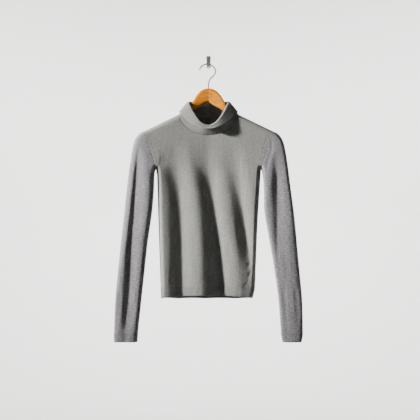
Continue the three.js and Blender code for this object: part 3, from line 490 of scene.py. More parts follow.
def wall_object(name, loops, sources, uv, facts, ringed):
    """Mesh object of a cloth wall.

    uv gives the knit's two directions, in millimetres, for each row and column of the outer points,
    with one column more on a ring. facts are named numbers for each row and column.
    """
    columns, size = loops.shape[:2]
    spans = columns if ringed else columns - 1
    i = np.arange(spans)[:, None]
    k = np.arange(size)[None, :]
    near, far = i, (i + 1) % columns
    after = (k + 1) % size
    quad_corners = (near * size + k, far * size + k, far * size + after, near * size + after)
    corners = np.stack(np.broadcast_arrays(*quad_corners), -1)
    uv_column = np.stack(np.broadcast_arrays(i, i + 1, i + 1, i), -1)
    uv_row = np.stack(np.broadcast_arrays(sources[k], sources[k], sources[after], sources[after]), -1)
    uv_column = np.broadcast_to(uv_column, corners.shape)
    uv_row = np.broadcast_to(uv_row, corners.shape)
    faces = corners.reshape(-1, 4)
    face_uv = uv[uv_row, uv_column].reshape(-1, 2)
    if not ringed:
        ends, end_uv = [], []
        for column, turned in ((0, False), (columns - 1, True)):
            for step in range(size // 2 - 1):
                quad = [step, step + 1, size - 2 - step, size - 1 - step]
                quad = quad[::-1] if turned else quad
                ends.append([column * size + q for q in quad])
                end_uv += [uv[sources[q], column] for q in quad]
        faces = np.concatenate([faces, np.array(ends)])
        face_uv = np.concatenate([face_uv, np.array(end_uv)])
    points = loops.reshape(-1, 3)
    if signed_volume(points, faces) < 0:
        faces = faces[:, ::-1]
        face_uv = face_uv.reshape(-1, 4, 2)[:, ::-1].reshape(-1, 2)
    mesh = bpy.data.meshes.new(name)
    mesh.from_pydata((points * MM).tolist(), [], faces.tolist())
    layer = mesh.uv_layers.new(name="knit")
    layer.data.foreach_set("uv", (face_uv * MM).ravel())
    for fact, values in facts.items():
        attribute = mesh.attributes.new(fact, "FLOAT", "POINT")
        attribute.data.foreach_set("value", values[sources].T.ravel().astype(np.float32))
    mesh.polygons.foreach_set("use_smooth", [True] * len(mesh.polygons))
    mesh.set_sharp_from_angle(angle=SHARP_ANGLE)
    mesh.update()
    piece = bpy.data.objects.new(name, mesh)
    bpy.context.collection.objects.link(piece)
    return piece


def signed_volume(points, quads):
    a, b, c, d = (points[quads[:, n]] for n in range(4))
    return float(np.einsum("ij,ij->", a, np.cross(b, c)) + np.einsum("ij,ij->", a, np.cross(c, d)))


def knit_uv(across, along):
    """Knit directions of a grid: across the wales and along them."""
    return np.stack(np.broadcast_arrays(across, along), axis=-1)


def closed_ring(rings):
    """The rings with their first column repeated at the end."""
    return np.concatenate([rings, rings[:, :1]], axis=1)


# Pieces of the body

# Fashioning marks: a row of short marks beside each armhole, in millimetres along it and across it. A
# pair gives where a mark or the row begins to show and where it is full. Widths are shares of the
# spacing. A piece without a side seam counts as far from one.
ARMHOLE_LENGTH = 116
MARKS_BELOW_SHOULDER = 16
MARKS_START = (8.0, 14.0)
MARKS_FROM_SEAM = 9.0
MARK_SPACING = 8.0
MARK_HALF_LENGTH = (3.0, 0.8)
MARK_HALF_WIDTH = (0.3, 0.12)
NO_SIDE_SEAM = 99


def seam_facts(points):
    """Distance of each point to the nearest seam, and the place along an armhole for its marks."""
    across = run_length(points, 1)
    from_side = np.minimum(across, across[:, -1:] - across)
    down = run_length(points[::-1], 0)[::-1]
    up = run_length(points, 0)
    distance = np.minimum(np.minimum(from_side, down), up)
    place = np.zeros_like(distance)
    place[LOWER_ROWS:] = np.linspace(0, ARMHOLE_LENGTH, ARMHOLE_ROWS + 1)[:, None]
    marks = np.where(down > MARKS_BELOW_SHOULDER, place, 0)
    return {"seam": distance, "side": from_side, "mark_place": marks}


def unmarked(seam):
    """Facts of a piece without fashioning marks, from its distance to the nearest seam."""
    return {"seam": seam, "side": np.full_like(seam, NO_SIDE_SEAM), "mark_place": np.zeros_like(seam)}


def make_panel(name, is_front):
    points, normals = panel_cloth(is_front)
    across = run_length(points, 1)
    middle = across[:, ALL_COLUMNS // 2][:, None]
    uv = knit_uv(across - middle, points[..., 2])
    loops, sources = wall_loops(points, normals, 0, CLOTH)
    return wall_object(name, loops, sources, uv, seam_facts(points), ringed=False)


# Sleeves

# Creases of the sleeves: section and share across at the start and the end, half width as a share,
# depth, and whether it is on the front
LEFT_SLEEVE_CREASES = [
    (6.8, 0.14, 8.6, 0.10, 0.12, -0.8, True),
    (8.4, 0.20, 9.8, 0.16, 0.14, 0.9, True),
    (8.8, 0.74, 9.9, 0.66, 0.18, 0.8, True),
    (2.0, 0.50, 4.0, 0.80, 0.18, 1.6, False),
    (5.0, 0.70, 7.2, 0.60, 0.20, 1.5, False),
    (8.0, 0.30, 9.4, 0.46, 0.20, 1.4, False),
]
RIGHT_SLEEVE_CREASES = [
    (0.2, 0.28, 1.5, 0.46, 0.12, 1.1, True),
    (0.8, 0.66, 2.6, 0.80, 0.18, 1.2, True),
    (6.8, 0.52, 8.6, 0.56, 0.22, 0.9, True),
    (8.2, 0.70, 9.8, 0.76, 0.16, 1.0, True),
    (8.4, 0.26, 9.9, 0.22, 0.18, 0.8, True),
    (1.6, 0.44, 3.4, 0.80, 0.18, 1.6, False),
    (4.6, 0.36, 6.8, 0.50, 0.20, 1.5, False),
    (7.4, 0.64, 9.0, 0.50, 0.20, 1.5, False),
]

# Rings in the upper and in the lower half of a sleeve's sections
SLEEVE_RINGS_HIGH = 80
SLEEVE_RINGS_LOW = 150


def sleeve_creases(step, share, is_front, creases):
    total = 0.0
    for step_0, share_0, step_1, share_1, width, depth, on_front in creases:
        along = (step - step_0) / (step_1 - step_0)
        middle = lerp(share_0, share_1, smooth(along))
        ends = smooth(along / CREASE_ENDS) * smooth((1 - along) / CREASE_ENDS)
        total = total + depth * ends * dome((share - middle) / width) * (is_front == on_front)
    return total


def sleeve_form(is_left):
    """Tables and flatness of a sleeve, and the profile of its groove's inner side."""
    if is_left:
        return SLEEVE_LEFT, GROOVE_LEFT, LEFT_SLEEVE_CREASES, FLAT_LEFT, dome
    return SLEEVE_RIGHT, GROOVE_RIGHT, RIGHT_SLEEVE_CREASES, FLAT_RIGHT, fold


def sleeve_rings(is_left, step, angle):
    """Points of a sleeve's sections, before they are fitted to the armhole."""
    table, groove, creases, flatness, inner_side = sleeve_form(is_left)
    sign = -1 if is_left else 1
    steps = [(n, *row) for n, row in enumerate(table)]
    outer_x, outer_z, inner_x, inner_z, half = (curve(steps, n, step) for n in range(1, 6))
    share = 0.5 - 0.5 * np.cos(angle)
    is_front = angle <= np.pi
    x = sign * lerp(outer_x, inner_x, share)
    z = lerp(outer_z, inner_z, share)
    across = curve(groove, 1, step)
    dip = np.where(is_front, curve(groove, 2, step), curve(groove, 3, step))
    edge_fade = round_off(0.5 - np.abs(share - 0.5), SLEEVE_EDGE_FADE)
    reach = np.where(share < across, curve(groove, 4, step), curve(groove, 5, step))
    place = (share - across) / reach
    trough = np.where(share < across, fold(place), inner_side(place))
    inward = dip * trough + sleeve_creases(step, share, is_front, creases)
    out = half * np.abs(np.sin(angle)) ** (2 / flatness) - inward * edge_fade
    y = curve(SLEEVE_Y, 1, z) + np.where(is_front, -out, out)
    return np.stack([x, y, z], axis=-1)


def ring_normals(rings, facing):
    across = np.roll(rings, -1, axis=1) - np.roll(rings, 1, axis=1)
    along = np.empty_like(rings)
    along[1:-1] = rings[2:] - rings[:-2]
    along[0] = rings[1] - rings[0]
    along[-1] = rings[-1] - rings[-2]
    return unit(facing * np.cross(across, along))


def armhole_seam(side):
    """Points and normals round an armhole, from the shoulder down the front and up the back."""
    points, normals = [], []
    for is_front in (True, False):
        cloth, cloth_normals = panel_cloth(is_front)
        edge = slice(None, LOWER_ROWS, -1) if is_front else slice(LOWER_ROWS, -1)
        points.append(cloth[edge, side])
        normals.append(cloth_normals[edge, side])
    return np.concatenate(points), np.concatenate(normals)


def sleeve_cloth(is_left):
    """A sleeve's points and normals, in rings from the armhole down."""
    seam, seam_normals = armhole_seam(0 if is_left else -1)
    angle = (np.pi * np.arange(2 * ARMHOLE_ROWS) / ARMHOLE_ROWS)[None, :]
    high = np.linspace(0, LAST_SECTION / 2, SLEEVE_RINGS_HIGH, endpoint=False)
    low = np.linspace(LAST_SECTION / 2, LAST_SECTION, SLEEVE_RINGS_LOW)
    step = np.concatenate([high, low])[:, None]
    plain = sleeve_rings(is_left, np.zeros((1, 1)), angle)
    keep = (1 - smooth(step / ARMHOLE_FADE))[..., None]
    rings = sleeve_rings(is_left, step, angle) + keep * (seam - plain)
    normals = ring_normals(rings, -1 if is_left else 1)
    normals[:, [0, ARMHOLE_ROWS], 1] = 0
    normals = unit(normals)
    normals[0] = seam_normals
    normals[-1] = level(normals[-1])
    return rings, normals


def from_underarm(rings):
    """The rings turned so that their first column is the one under the arm."""
    return np.roll(rings, -ARMHOLE_ROWS, axis=1)


def sleeve_uv(rings):
    around = run_length(closed_ring(rings), 1)
    along = run_length(closed_ring(rings)[::-1], 0)[::-1]
    return knit_uv(around - around[:, -1:] / 2, along)


def make_sleeve(name, is_left):
    rings, normals = (from_underarm(grid) for grid in sleeve_cloth(is_left))
    seam = np.minimum(run_length(rings, 0), run_length(rings[::-1], 0)[::-1])
    loops, sources = wall_loops(rings, normals, 0, CLOTH)
    return wall_object(name, loops, sources, sleeve_uv(rings), unmarked(seam), ringed=True)


def band_facts(rings):
    return unmarked(run_length(rings, 0))


def make_cuff(name, is_left):
    """The sleeve's last section carried down to the cuff's own end."""
    rings, normals = (from_underarm(grid) for grid in sleeve_cloth(is_left))
    outer_x, _, inner_x, _, _ = (SLEEVE_LEFT if is_left else SLEEVE_RIGHT)[-1]
    cuff_outer_x, cuff_inner_x = CUFF_LEFT if is_left else CUFF_RIGHT
    sign = -1 if is_left else 1
    start_middle = sign * (outer_x + inner_x) / 2
    end_middle = sign * (cuff_outer_x + cuff_inner_x) / 2
    narrowing = (cuff_outer_x - cuff_inner_x) / (outer_x - inner_x)
    down = np.linspace(0, 1, BAND_ROWS)[:, None]
    last = rings[-1][None]
    x = lerp(last[..., 0], end_middle + (last[..., 0] - start_middle) * narrowing, down)
    z = last[..., 2] - CUFF_DROP * down
    band = np.stack(np.broadcast_arrays(x, last[..., 1], z), axis=-1)
    band_normals = np.broadcast_to(normals[-1], band.shape)
    loops, sources = wall_loops(band, band_normals, BAND_OUT, BAND_IN, end_lip=True)
    return wall_object(name, loops, sources, sleeve_uv(band), band_facts(band), ringed=True)


# Hem band: its lower edge rises to the middle of the front and hangs lower along the back

HEM_FRONT_RISE = 7
HEM_BACK_DROP = 4


def hem_rings():
    shares = column_shares()
    rings = []
    for down in np.linspace(0, 1, BAND_ROWS):
        parts = []
        for is_front in (True, False):
            share = shares[:-1] if is_front else shares[:0:-1]
            x = lerp(-body_edge(-1, HEM_SEAM_Z), body_edge(1, HEM_SEAM_Z), share)
            rise = HEM_FRONT_RISE * (1 - (x / ARMPIT_X) ** 2)
            low = HEM_Z + rise if is_front else np.full_like(x, HEM_Z - HEM_BACK_DROP)
            low[0] = HEM_Z
            z = lerp(HEM_SEAM_Z, low, down)
            edge_x = lerp(-body_edge(-np.ones_like(z), z), body_edge(np.ones_like(z), z), share)
            parts.append(body_points(edge_x, z, is_front))
        rings.append(np.concatenate(parts))
    return np.array(rings)


def make_hem():
    rings = hem_rings()
    normals = level(ring_normals(rings, -1))
    normals[:, 0] = (-1, 0, 0)
    normals[:, ALL_COLUMNS] = (1, 0, 0)
    around = run_length(closed_ring(rings), 1)
    uv = knit_uv(around, closed_ring(rings)[..., 2])
    loops, sources = wall_loops(rings, normals, BAND_OUT, BAND_IN, end_lip=True)
    return wall_object("hem_knit", loops, sources, uv, band_facts(rings), ringed=True)


# Collar

def collar_base():
    """The neck edge from the right shoulder seam round the front, in its middle, and its normals."""
    points, normals = [], []
    for is_front in (True, False):
        cloth, cloth_normals = panel_cloth(is_front)
        neck = slice(SHOULDER_COLUMNS, SHOULDER_COLUMNS + NECK_COLUMNS + 1)
        edge, edge_normals = cloth[-1, neck], cloth_normals[-1, neck]
        if is_front:
            edge, edge_normals = edge[::-1], edge_normals[::-1]
        points.append(edge[:-1] - edge_normals[:-1] * CLOTH / 2)
        normals.append(edge_normals[:-1])
    return np.concatenate(points), np.concatenate(normals)


def folded_run(base, rim, edge):
    """Points up from the base to the rim, round the fold and down to the flap's edge."""
    up = unit(rim - base)
    out = edge - rim
    out = unit(out - up * np.sum(out * up, axis=-1, keepdims=True))
    centre = rim - up * FOLD_RADIUS + out * FOLD_SHIFT

    def fold_point(angle):
        return centre - out * FOLD_RADIUS * math.cos(angle) + up * FOLD_RADIUS * math.sin(angle)

    run = [lerp(base, fold_point(0), k / STAND_SPANS) for k in range(STAND_SPANS)]
    run += [fold_point(math.pi * k / FOLD_SPANS) for k in range(FOLD_SPANS)]
    run += [lerp(fold_point(math.pi), edge, k / FLAP_SPANS) for k in range(FLAP_SPANS + 1)]
    return np.array(run)


def make_collar():
    base, base_normals = collar_base()
    angle = np.concatenate([neck_angles()[:-1], np.pi + neck_angles()[:-1]])
    is_front = angle < np.pi
    lift = np.abs(np.sin(angle))
    turn = np.cos(angle)
    rim_depth = np.where(is_front, -RIM_FRONT_DEPTH, RIM_BACK_DEPTH)
    rim_drop = np.where(is_front, RIM_FRONT_DROP, RIM_BACK_DROP)
    rim_y = arm_y(RIM_X * turn) + rim_depth * lift**RIM_DEPTH_POWER
    rim = np.stack([RIM_X * turn, rim_y, RIM_SIDE_Z - rim_drop * lift**2], axis=-1)
    flap_out = np.where(is_front, -FLAP_FRONT_OUT, FLAP_BACK_OUT)
    flap_drop = np.where(is_front, FLAP_FRONT_DROP, FLAP_BACK_DROP)
    set_back = np.where(is_front, FLAP_SET_BACK * np.sin(2 * angle) ** 2, 0)
    follow = (arm_y(RIM_X * turn) - arm_y(FLAP_X * turn)) * FLAP_ARM_SHARE
    flap_y = rim_y + flap_out * lift - follow + set_back
    edge = np.stack([FLAP_X * turn, flap_y, FLAP_SIDE_Z - flap_drop * lift**2], axis=-1)
    rows = folded_run(base, rim, edge)
    normals = ring_normals(rows, 1)
    normals[0] = base_normals
    along = run_length(closed_ring(rows), 0)
    around = run_length(closed_ring(rows), 1)[STAND_SPANS][None, :]
    uv = knit_uv(around, along)
    loops, sources = wall_loops(rows, normals, CLOTH / 2, CLOTH / 2, end_lip=True)
    return wall_object("collar_knit", loops, sources, uv, band_facts(rows), ringed=True)


# Materials

class Nodes:
    """Short names for building a material's nodes."""

    def __init__(self, name):
        self.material = bpy.data.materials.new(name)
        self.material.use_nodes = True
        self.tree = self.material.node_tree
        self.shader = self.tree.nodes["Principled BSDF"]

    def node(self, kind, inputs=None, **settings):
        made = self.tree.nodes.new(kind)
        for setting, value in settings.items():
            setattr(made, setting, value)
        for socket, value in (inputs or {}).items():
            self.put(made.inputs[socket], value)
        return made

    def put(self, socket, value):
        if isinstance(value, bpy.types.NodeSocket):
            self.tree.links.new(value, socket)
        else:
            socket.default_value = value

    def surface(self, **sockets):
        """Sets the shader's sockets, named with _ in place of each space."""
        for socket, value in sockets.items():
            self.put(self.shader.inputs[socket.replace("_", " ")], value)

    def math(self, operation, a, b=0.0, c=0.0):
        return self.node("ShaderNodeMath", {0: a, 1: b, 2: c}, operation=operation).outputs[0]

    def times(self, a, b):
        return self.math("MULTIPLY", a, b)

    def plus(self, total, value, weight):
        """The total with a weighted value added to it."""
        return self.math("MULTIPLY_ADD", value, weight, total)

    def weighted(self, total, patterns, weights):
        """The total with each pattern that has a weight added to it."""
        for pattern, weight in weights.items():
            total = self.plus(total, patterns[pattern], weight)
        return total

    def off(self, value, middle):
        """Distance of a value from a middle one."""
        return self.math("ABSOLUTE", self.math("SUBTRACT", value, middle))

    def mix(self, share, first, second):
        made = self.node("ShaderNodeMix", {"Factor": share, "A": first, "B": second}, data_type="RGBA")
        return made.outputs["Result"]

    def place(self):
        return self.node("ShaderNodeTexCoord").outputs["Object"]

    def parts(self, vector):
        return tuple(self.node("ShaderNodeSeparateXYZ", {"Vector": vector}).outputs)

    def stretched(self, vector, scale):
        return self.node("ShaderNodeMapping", {"Vector": vector, "Scale": scale}).outputs["Vector"]

    def noise(self, vector, scale, detail=3.0, roughness=0.5):
        inputs = {"Vector": vector, "Scale": scale, "Detail": detail, "Roughness": roughness}
        return self.node("ShaderNodeTexNoise", inputs).outputs["Fac"]

    def fade(self, value, start, full):
        """0 where the value is at the start and 1 where it is at full, with a smooth passage."""
        inputs = {"Value": value, "From Min": start, "From Max": full}
        return self.node("ShaderNodeMapRange", inputs, interpolation_type="SMOOTHSTEP").outputs["Result"]

    def fact(self, name):
        return self.node("ShaderNodeAttribute", attribute_name=name).outputs["Fac"]

    def bump(self, height, strength, distance):
        inputs = {"Height": height, "Strength": strength, "Distance": distance}
        return self.node("ShaderNodeBump", inputs).outputs["Normal"]


# Knit: width and height of a stitch and width of a rib, in metres, how far a wale wavers and how far
# the legs of a stitch lean, in stitches
WALE = 0.0021
COURSE = 0.0016
RIB = 0.0034
WALE_WAVER = 0.0016
LEG_LEAN = 0.55

# Grey of the dark, the middle and the light yarn, and the tint and the strength of the flecks for the
# body and for the sleeves
YARN_LEVELS = (0.037, 0.081, 0.165)
BODY_TINT = (1.0, 1.003, 0.95)
BODY_GRAIN = 0.5
SLEEVE_TINT = (1.0, 0.96, 1.03)
SLEEVE_GRAIN = 1.25

# Fineness of the yarn's patterns, per metre. Those with three numbers are drawn out across the wales
# or along them.
WAVER_SCALE = 60.0
FIBRE_SCALE = 900.0
MOTTLE_SCALE = 190.0
CLOUD_SCALE = 26.0
STREAK_SCALE = (230.0, 14.0, 1.0)
BAR_SCALE = (24.0, 260.0, 1.0)
FLECK_SCALE = (110.0, 420.0, 1.0)

# What each pattern adds to the tone and to the height, and the tones between which the yarn passes from
# dark to middle and from middle to light
TONE_START = -0.02
TONE_WEIGHTS = {"fibre": 0.5, "mottle": 0.32, "streak": 0.22, "cloud": 0.12}
# Painted shade and highlight on the stitches: the tone falls between a stitch's legs and rises on them,
# about the middle height
STITCH_MIDDLE, STITCH_PAINTED_SHADE = 0.45, 0.22
HEIGHT_WEIGHTS = {"mottle": 0.35, "streak": 1.1, "bar": 0.5, "fibre": 0.3}
DARK_TONES = (0.2, 0.62)
LIGHT_TONES = (0.52, 0.95)
KNIT_BUMP = (0.7, 0.0005)

# Ribs, seam lines and fashioning marks: how much of the dark yarn they take on, which on the ribs is
# painted shade in their valleys, and how far they rise
RIB_VALLEY = (0.2, -0.9)
RIB_PAINTED_SHADE, RIB_RISE = 0.45, 1.6
SEAM_HALF_WIDTH = (1.8, 0.2)
SEAM_DARKENING, SEAM_RISE = 0.3, -1.2
MARK_DARKENING, MARK_RISE = 0.55, -1.5


def fashioning_marks(make):
    """Row of small marks beside each armhole, where the knit was narrowed."""
    place = make.fact("mark_place")
    from_row = make.off(make.fact("side"), MARKS_FROM_SEAM)
    from_mark = make.off(make.math("FRACT", make.math("DIVIDE", place, MARK_SPACING)), 0.5)
    in_row = make.times(make.fade(from_row, *MARK_HALF_LENGTH), make.fade(place, *MARKS_START))
    return make.times(in_row, make.fade(from_mark, *MARK_HALF_WIDTH))


def stitches(make, uv):
    """Height of the stitches: two leaning legs to each wale, lowest in its middle and at its edges."""
    u, v, _ = make.parts(uv)
    waver = make.times(make.math("SUBTRACT", make.noise(make.place(), WAVER_SCALE), 0.5), WALE_WAVER)
    across = make.math("DIVIDE", make.math("ADD", u, waver), WALE)
    along = make.math("DIVIDE", v, COURSE)
    in_wale = make.times(make.off(make.math("FRACT", across), 0.5), 2.0)
    leg = make.math("SINE", make.times(in_wale, math.pi))
    turn = make.times(make.plus(along, in_wale, LEG_LEAN), 2 * math.pi)
    strand = make.plus(0.7, make.math("SINE", turn), 0.3)
    return make.times(leg, strand)


def yarn_patterns(make, uv):
    place = make.place()
    fleck = make.noise(make.stretched(uv, FLECK_SCALE), 1.0, 3.0, 0.65)
    return {
        "fibre": make.noise(place, FIBRE_SCALE, 4.0, 0.7),
        "mottle": make.noise(place, MOTTLE_SCALE, 3.0, 0.6),
        "cloud": make.noise(place, CLOUD_SCALE, 2.0),
        "streak": make.noise(make.stretched(uv, STREAK_SCALE), 1.0, 2.0),
        "bar": make.noise(make.stretched(uv, BAR_SCALE), 1.0, 2.0),
        "fleck": make.math("SUBTRACT", fleck, 0.5),
    }


def knit_material(name, tint, grain, is_rib=False):
    """Heather grey knit: two legs to each stitch, uneven wales, mottled yarn and a slight fuzz."""
    make = Nodes(name)
    yarn_dark, yarn_mid, yarn_light = ([grey * part for part in tint] + [1] for grey in YARN_LEVELS)
    uv = make.node("ShaderNodeUVMap", uv_map="knit").outputs["UV"]
    stitch = stitches(make, uv)
    patterns = yarn_patterns(make, uv)
    tone = make.weighted(TONE_START, patterns, TONE_WEIGHTS)
    # Painted shade and highlight: darker where the stitches sink, lighter on their legs
    tone = make.plus(tone, make.math("SUBTRACT", stitch, STITCH_MIDDLE), STITCH_PAINTED_SHADE)
    tone = make.plus(tone, patterns["fleck"], grain)
    low = make.mix(make.fade(tone, *DARK_TONES), yarn_dark, yarn_mid)
    colour = make.mix(make.fade(tone, *LIGHT_TONES), low, yarn_light)
    height = make.weighted(stitch, patterns, HEIGHT_WEIGHTS)
    if is_rib:
        ribs = make.math("DIVIDE", make.parts(uv)[0], RIB)
        rib = make.math("SINE", make.times(ribs, 2 * math.pi))
        height = make.plus(height, rib, RIB_RISE)
        # Painted shade: the ribs' valleys are darkened towards the dark yarn
        colour = make.mix(make.times(make.fade(rib, *RIB_VALLEY), RIB_PAINTED_SHADE), colour, yarn_dark)
    seam_line = make.fade(make.fact("seam"), *SEAM_HALF_WIDTH)
    colour = make.mix(make.times(seam_line, SEAM_DARKENING), colour, yarn_dark)
    height = make.plus(height, seam_line, SEAM_RISE)
    mark = fashioning_marks(make)
    colour = make.mix(make.times(mark, MARK_DARKENING), colour, yarn_dark)
    height = make.plus(height, mark, MARK_RISE)
    make.surface(
        Base_Color=colour,
        Normal=make.bump(height, *KNIT_BUMP),
        Roughness=make.plus(0.84, patterns["fibre"], 0.12),
        Specular_IOR_Level=0.18,
        Sheen_Weight=0.12,
        Sheen_Roughness=0.5,
    )
    return make.material


# Wood: its colours, the slope of the arms that the grain follows, the half width of the joint in the
# middle, in metres, and a factor that gives each half a grain of its own
WOOD_DARK = (0.2, 0.06, 0.002, 1)
WOOD_LIGHT = (0.44, 0.152, 0.003, 1)
WOOD_PORE = (0.14, 0.036, 0.004, 1)
WOOD_GRAIN_SLOPE = 0.42
WOOD_JOINT = 0.0006
WOOD_HALVES_APART = 4.0

# Fineness of its patterns, per metre along the arm, through it and across it, the values between which
# they show, and the share of the darker colour in a pore, on the left half, where it is painted shade for
# the arm that turns away from the key light, and in the joint
WOOD_GRAIN_SCALE = (5.0, 60.0, 85.0)
WOOD_PORE_SCALE = (40.0, 900.0, 1300.0)
WOOD_CLOUD_SCALE = 22.0
WOOD_TONES = (0.42, 0.62)
WOOD_PORES = (0.5, 0.72)
PORE_SHARE, LEFT_SHADE_SHARE, JOINT_SHARE = 0.6, 0.4, 0.5


def wood_material():
    """Honey-coloured varnished wood: two halves that meet at a mitre, each grained along its arm."""
    make = Nodes("honey_wood")
    place = make.place()
    x, y, z = make.parts(place)
    away = make.math("ABSOLUTE", x)
    drop = make.plus(z, away, WOOD_GRAIN_SLOPE)
    spread = make.plus(away, x, WOOD_HALVES_APART)
    turned = make.node("ShaderNodeCombineXYZ", {"X": spread, "Y": y, "Z": drop}).outputs[0]
    grain = make.noise(make.stretched(turned, WOOD_GRAIN_SCALE), 1.7, 5.0, 0.6)
    pores = make.noise(make.stretched(turned, WOOD_PORE_SCALE), 1.0, 2.0)
    cloud = make.noise(place, WOOD_CLOUD_SCALE, 2.0)
    tone = make.plus(make.times(grain, 0.8), cloud, 0.3)
    shaded_left_half = make.fade(x, WOOD_JOINT, -WOOD_JOINT)
    joint = make.fade(away, WOOD_JOINT, 0.0)
    colour = make.mix(make.fade(tone, *WOOD_TONES), WOOD_DARK, WOOD_LIGHT)
    colour = make.mix(make.times(make.fade(pores, *WOOD_PORES), PORE_SHARE), colour, WOOD_PORE)
    # Painted shade: the left half, whose arm turns away from the key light, is darkened
    colour = make.mix(make.times(shaded_left_half, LEFT_SHADE_SHARE), colour, WOOD_DARK)
    colour = make.mix(make.times(joint, JOINT_SHARE), colour, WOOD_PORE)
    make.surface(
        Base_Color=colour,
        Normal=make.bump(make.math("ADD", grain, pores), 0.12, 0.0004),
        Roughness=make.plus(0.42, grain, 0.2),
        Specular_IOR_Level=0.12,
        Coat_Weight=0.03,
        Coat_Roughness=0.25,
    )
    return make.material


# Metals: colour of each and colour of its worn patches, and fineness of the patches and the scratches
STEEL, STEEL_WORN = (0.07, 0.065, 0.058, 1), (0.035, 0.033, 0.03, 1)
BRASS, BRASS_WORN = (0.26, 0.24, 0.19, 1), (0.13, 0.12, 0.095, 1)
PATCH_SCALE = 320.0
SCRATCH_SCALE = (1500.0, 1500.0, 90.0)


def metal_material(name, colour, worn, roughness):
    """Metal with fine scratches and a slightly uneven tone."""
    make = Nodes(name)
    place = make.place()
    patches = make.noise(place, PATCH_SCALE, 4.0, 0.6)
    scratches = make.noise(make.stretched(place, SCRATCH_SCALE), 1.0, 2.0)
    make.surface(
        Base_Color=make.mix(make.fade(patches, 0.4, 0.7), colour, worn),
        Normal=make.bump(scratches, 0.15, 0.0002),
        Roughness=make.plus(roughness, patches, 0.22),
        Metallic=1.0,
    )
    return make.material


BACKDROP_TONES = (0.86, 0.86, 0.85, 1), (0.90, 0.90, 0.89, 1)


def backdrop_material():
    make = Nodes("pale_backdrop")
    tone = make.noise(make.place(), 2.0, 2.0)
    make.surface(Base_Color=make.mix(tone, *BACKDROP_TONES), Roughness=0.9)
    return make.material


# Stage, in metres: a pale bowl whose floor curves up into a wall all round

BOWL_FLOOR_Z = -1.55
BOWL_RADIUS = 3.7
BOWL_BEND = 1.3
BOWL_TOP_Z = 1.7
BOWL_HOLE = 0.001
BOWL_SIDES = 96
BOWL_BEND_STEPS = 16
STAGE_CENTRE_Y = -0.06


def make_stage():
    profile = [(BOWL_HOLE, BOWL_FLOOR_Z), (BOWL_RADIUS - BOWL_BEND, BOWL_FLOOR_Z)]
    for share in np.linspace(0, 1, BOWL_BEND_STEPS + 1)[1:]:
        angle = share * math.pi / 2
        radius = BOWL_RADIUS - BOWL_BEND + BOWL_BEND * math.sin(angle)
        profile.append((radius, BOWL_FLOOR_Z + BOWL_BEND * (1 - math.cos(angle))))
    profile.append((BOWL_RADIUS, BOWL_TOP_Z))
    points, faces = [], []
    for side in range(BOWL_SIDES):
        angle = 2 * math.pi * side / BOWL_SIDES
        for radius, z in profile:
            points.append((radius * math.cos(angle), STAGE_CENTRE_Y + radius * math.sin(angle), z))
    size = len(profile)
    for side in range(BOWL_SIDES):
        after = (side + 1) % BOWL_SIDES
        for k in range(size - 1):
            faces.append((side * size + k, after * size + k, after * size + k + 1, side * size + k + 1))
    mesh = bpy.data.meshes.new("backdrop")
    mesh.from_pydata(points, [], faces)
    mesh.polygons.foreach_set("use_smooth", [True] * len(mesh.polygons))
    mesh.materials.append(backdrop_material())
    stage = bpy.data.objects.new("backdrop", mesh)
    bpy.context.collection.objects.link(stage)


# Lights and camera, in metres and watts. The key stands at the upper left and grazes the front.

AIM = Vector((0.0, -0.06, -0.4))
KEY_WAY = Vector((-0.92, -0.21, 0.335)).normalized()
KEY_FAR = 2.7
KEY_COLOUR = (1.0, 0.985, 0.96)
BACKDROP_COLOUR = (1.0, 0.995, 0.985)
FILL_COLOUR = (0.97, 0.985, 1.0)
WORLD_COLOUR = (0.9, 0.93, 1.0, 1)
WORLD_STRENGTH = 0.05

# Each row: name, place, what it aims at, width, power, colour, spread in degrees
LIGHTS = [
    ("key", AIM + KEY_WAY * KEY_FAR, AIM, 0.25, 57.0, KEY_COLOUR, 45),
    ("backdrop_left", (-1.7, 0.9, 1.3), (-0.6, 3.6, -0.7), 1.0, 84.0, BACKDROP_COLOUR, 110),
    ("backdrop_right", (1.7, 0.9, 1.3), (0.6, 3.6, -0.7), 1.0, 84.0, BACKDROP_COLOUR, 110),
    ("fill", (1.9, -2.4, 0.5), AIM, 1.8, 1.0, FILL_COLOUR, 180),
]

CAMERA_PLACE = (0.0043, -2.56, -0.432)
CAMERA_FIELD = math.radians(27.2)
CAMERA_REACH = 30


def area_light(name, place, aim, width, power, colour, spread):
    data = bpy.data.lights.new(name, "AREA")
    data.shape = "DISK"
    data.size = width
    data.energy = power
    data.color = colour
    data.spread = math.radians(spread)
    light = bpy.data.objects.new(name, data)
    light.location = place
    light.rotation_euler = (Vector(aim) - Vector(place)).to_track_quat("-Z", "Y").to_euler()
    bpy.context.collection.objects.link(light)


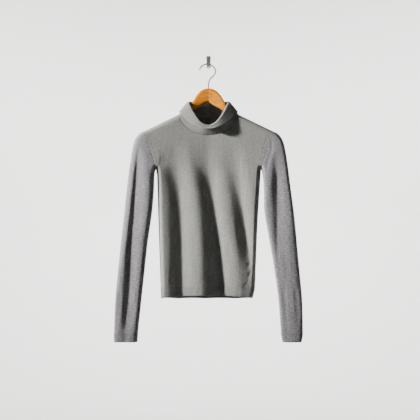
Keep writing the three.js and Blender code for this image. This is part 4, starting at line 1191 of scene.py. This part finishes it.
def light_scene():
    for row in LIGHTS:
        area_light(*row)
    world = bpy.data.worlds.new("studio")
    world.use_nodes = True
    background = world.node_tree.nodes["Background"]
    background.inputs["Color"].default_value = WORLD_COLOUR
    background.inputs["Strength"].default_value = WORLD_STRENGTH
    bpy.context.scene.world = world


def place_camera():
    data = bpy.data.cameras.new("camera")
    data.angle = CAMERA_FIELD
    data.clip_end = CAMERA_REACH
    camera = bpy.data.objects.new("camera", data)
    camera.location = CAMERA_PLACE
    camera.rotation_euler = (math.pi / 2, 0, 0)
    bpy.context.collection.objects.link(camera)
    bpy.context.scene.camera = camera


def dress(piece, node, material):
    """Gives a piece its material, hangs it on the root and hides the solid that it stands for."""
    piece.data.materials.append(material)
    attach(piece, "root")
    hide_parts(node)


place_camera()
light_scene()
make_stage()

body_knit = knit_material("heather_body", BODY_TINT, BODY_GRAIN)
sleeve_knit = knit_material("heather_sleeve", SLEEVE_TINT, SLEEVE_GRAIN)
body_rib = knit_material("heather_hem", BODY_TINT, BODY_GRAIN, is_rib=True)
sleeve_rib = knit_material("heather_cuff", SLEEVE_TINT, SLEEVE_GRAIN, is_rib=True)

front = make_panel("front_knit", is_front=True)
back = make_panel("back_knit", is_front=False)
sleeve_left = make_sleeve("sleeve_left_knit", is_left=True)
sleeve_right = make_sleeve("sleeve_right_knit", is_left=False)
cuff_left = make_cuff("cuff_left_knit", is_left=True)
cuff_right = make_cuff("cuff_right_knit", is_left=False)
collar = make_collar()
hem = make_hem()

dress(front, "front_panel", body_knit)
dress(back, "back_panel", body_knit)
dress(sleeve_left, "sleeve_left", sleeve_knit)
dress(sleeve_right, "sleeve_right", sleeve_knit)
dress(cuff_left, "cuff_left", sleeve_rib)
dress(cuff_right, "cuff_right", sleeve_rib)
dress(collar, "collar", body_knit)
dress(hem, "hem_band", body_rib)

for cad_name, material in (
    ("hanger_wood", wood_material()),
    ("hanger_hook", metal_material("steel_wire", STEEL, STEEL_WORN, 0.25)),
    ("wall_hook", metal_material("aged_brass", BRASS, BRASS_WORN, 0.3)),
):
    for slot in bpy.data.objects[cad_name].material_slots:
        slot.material = material

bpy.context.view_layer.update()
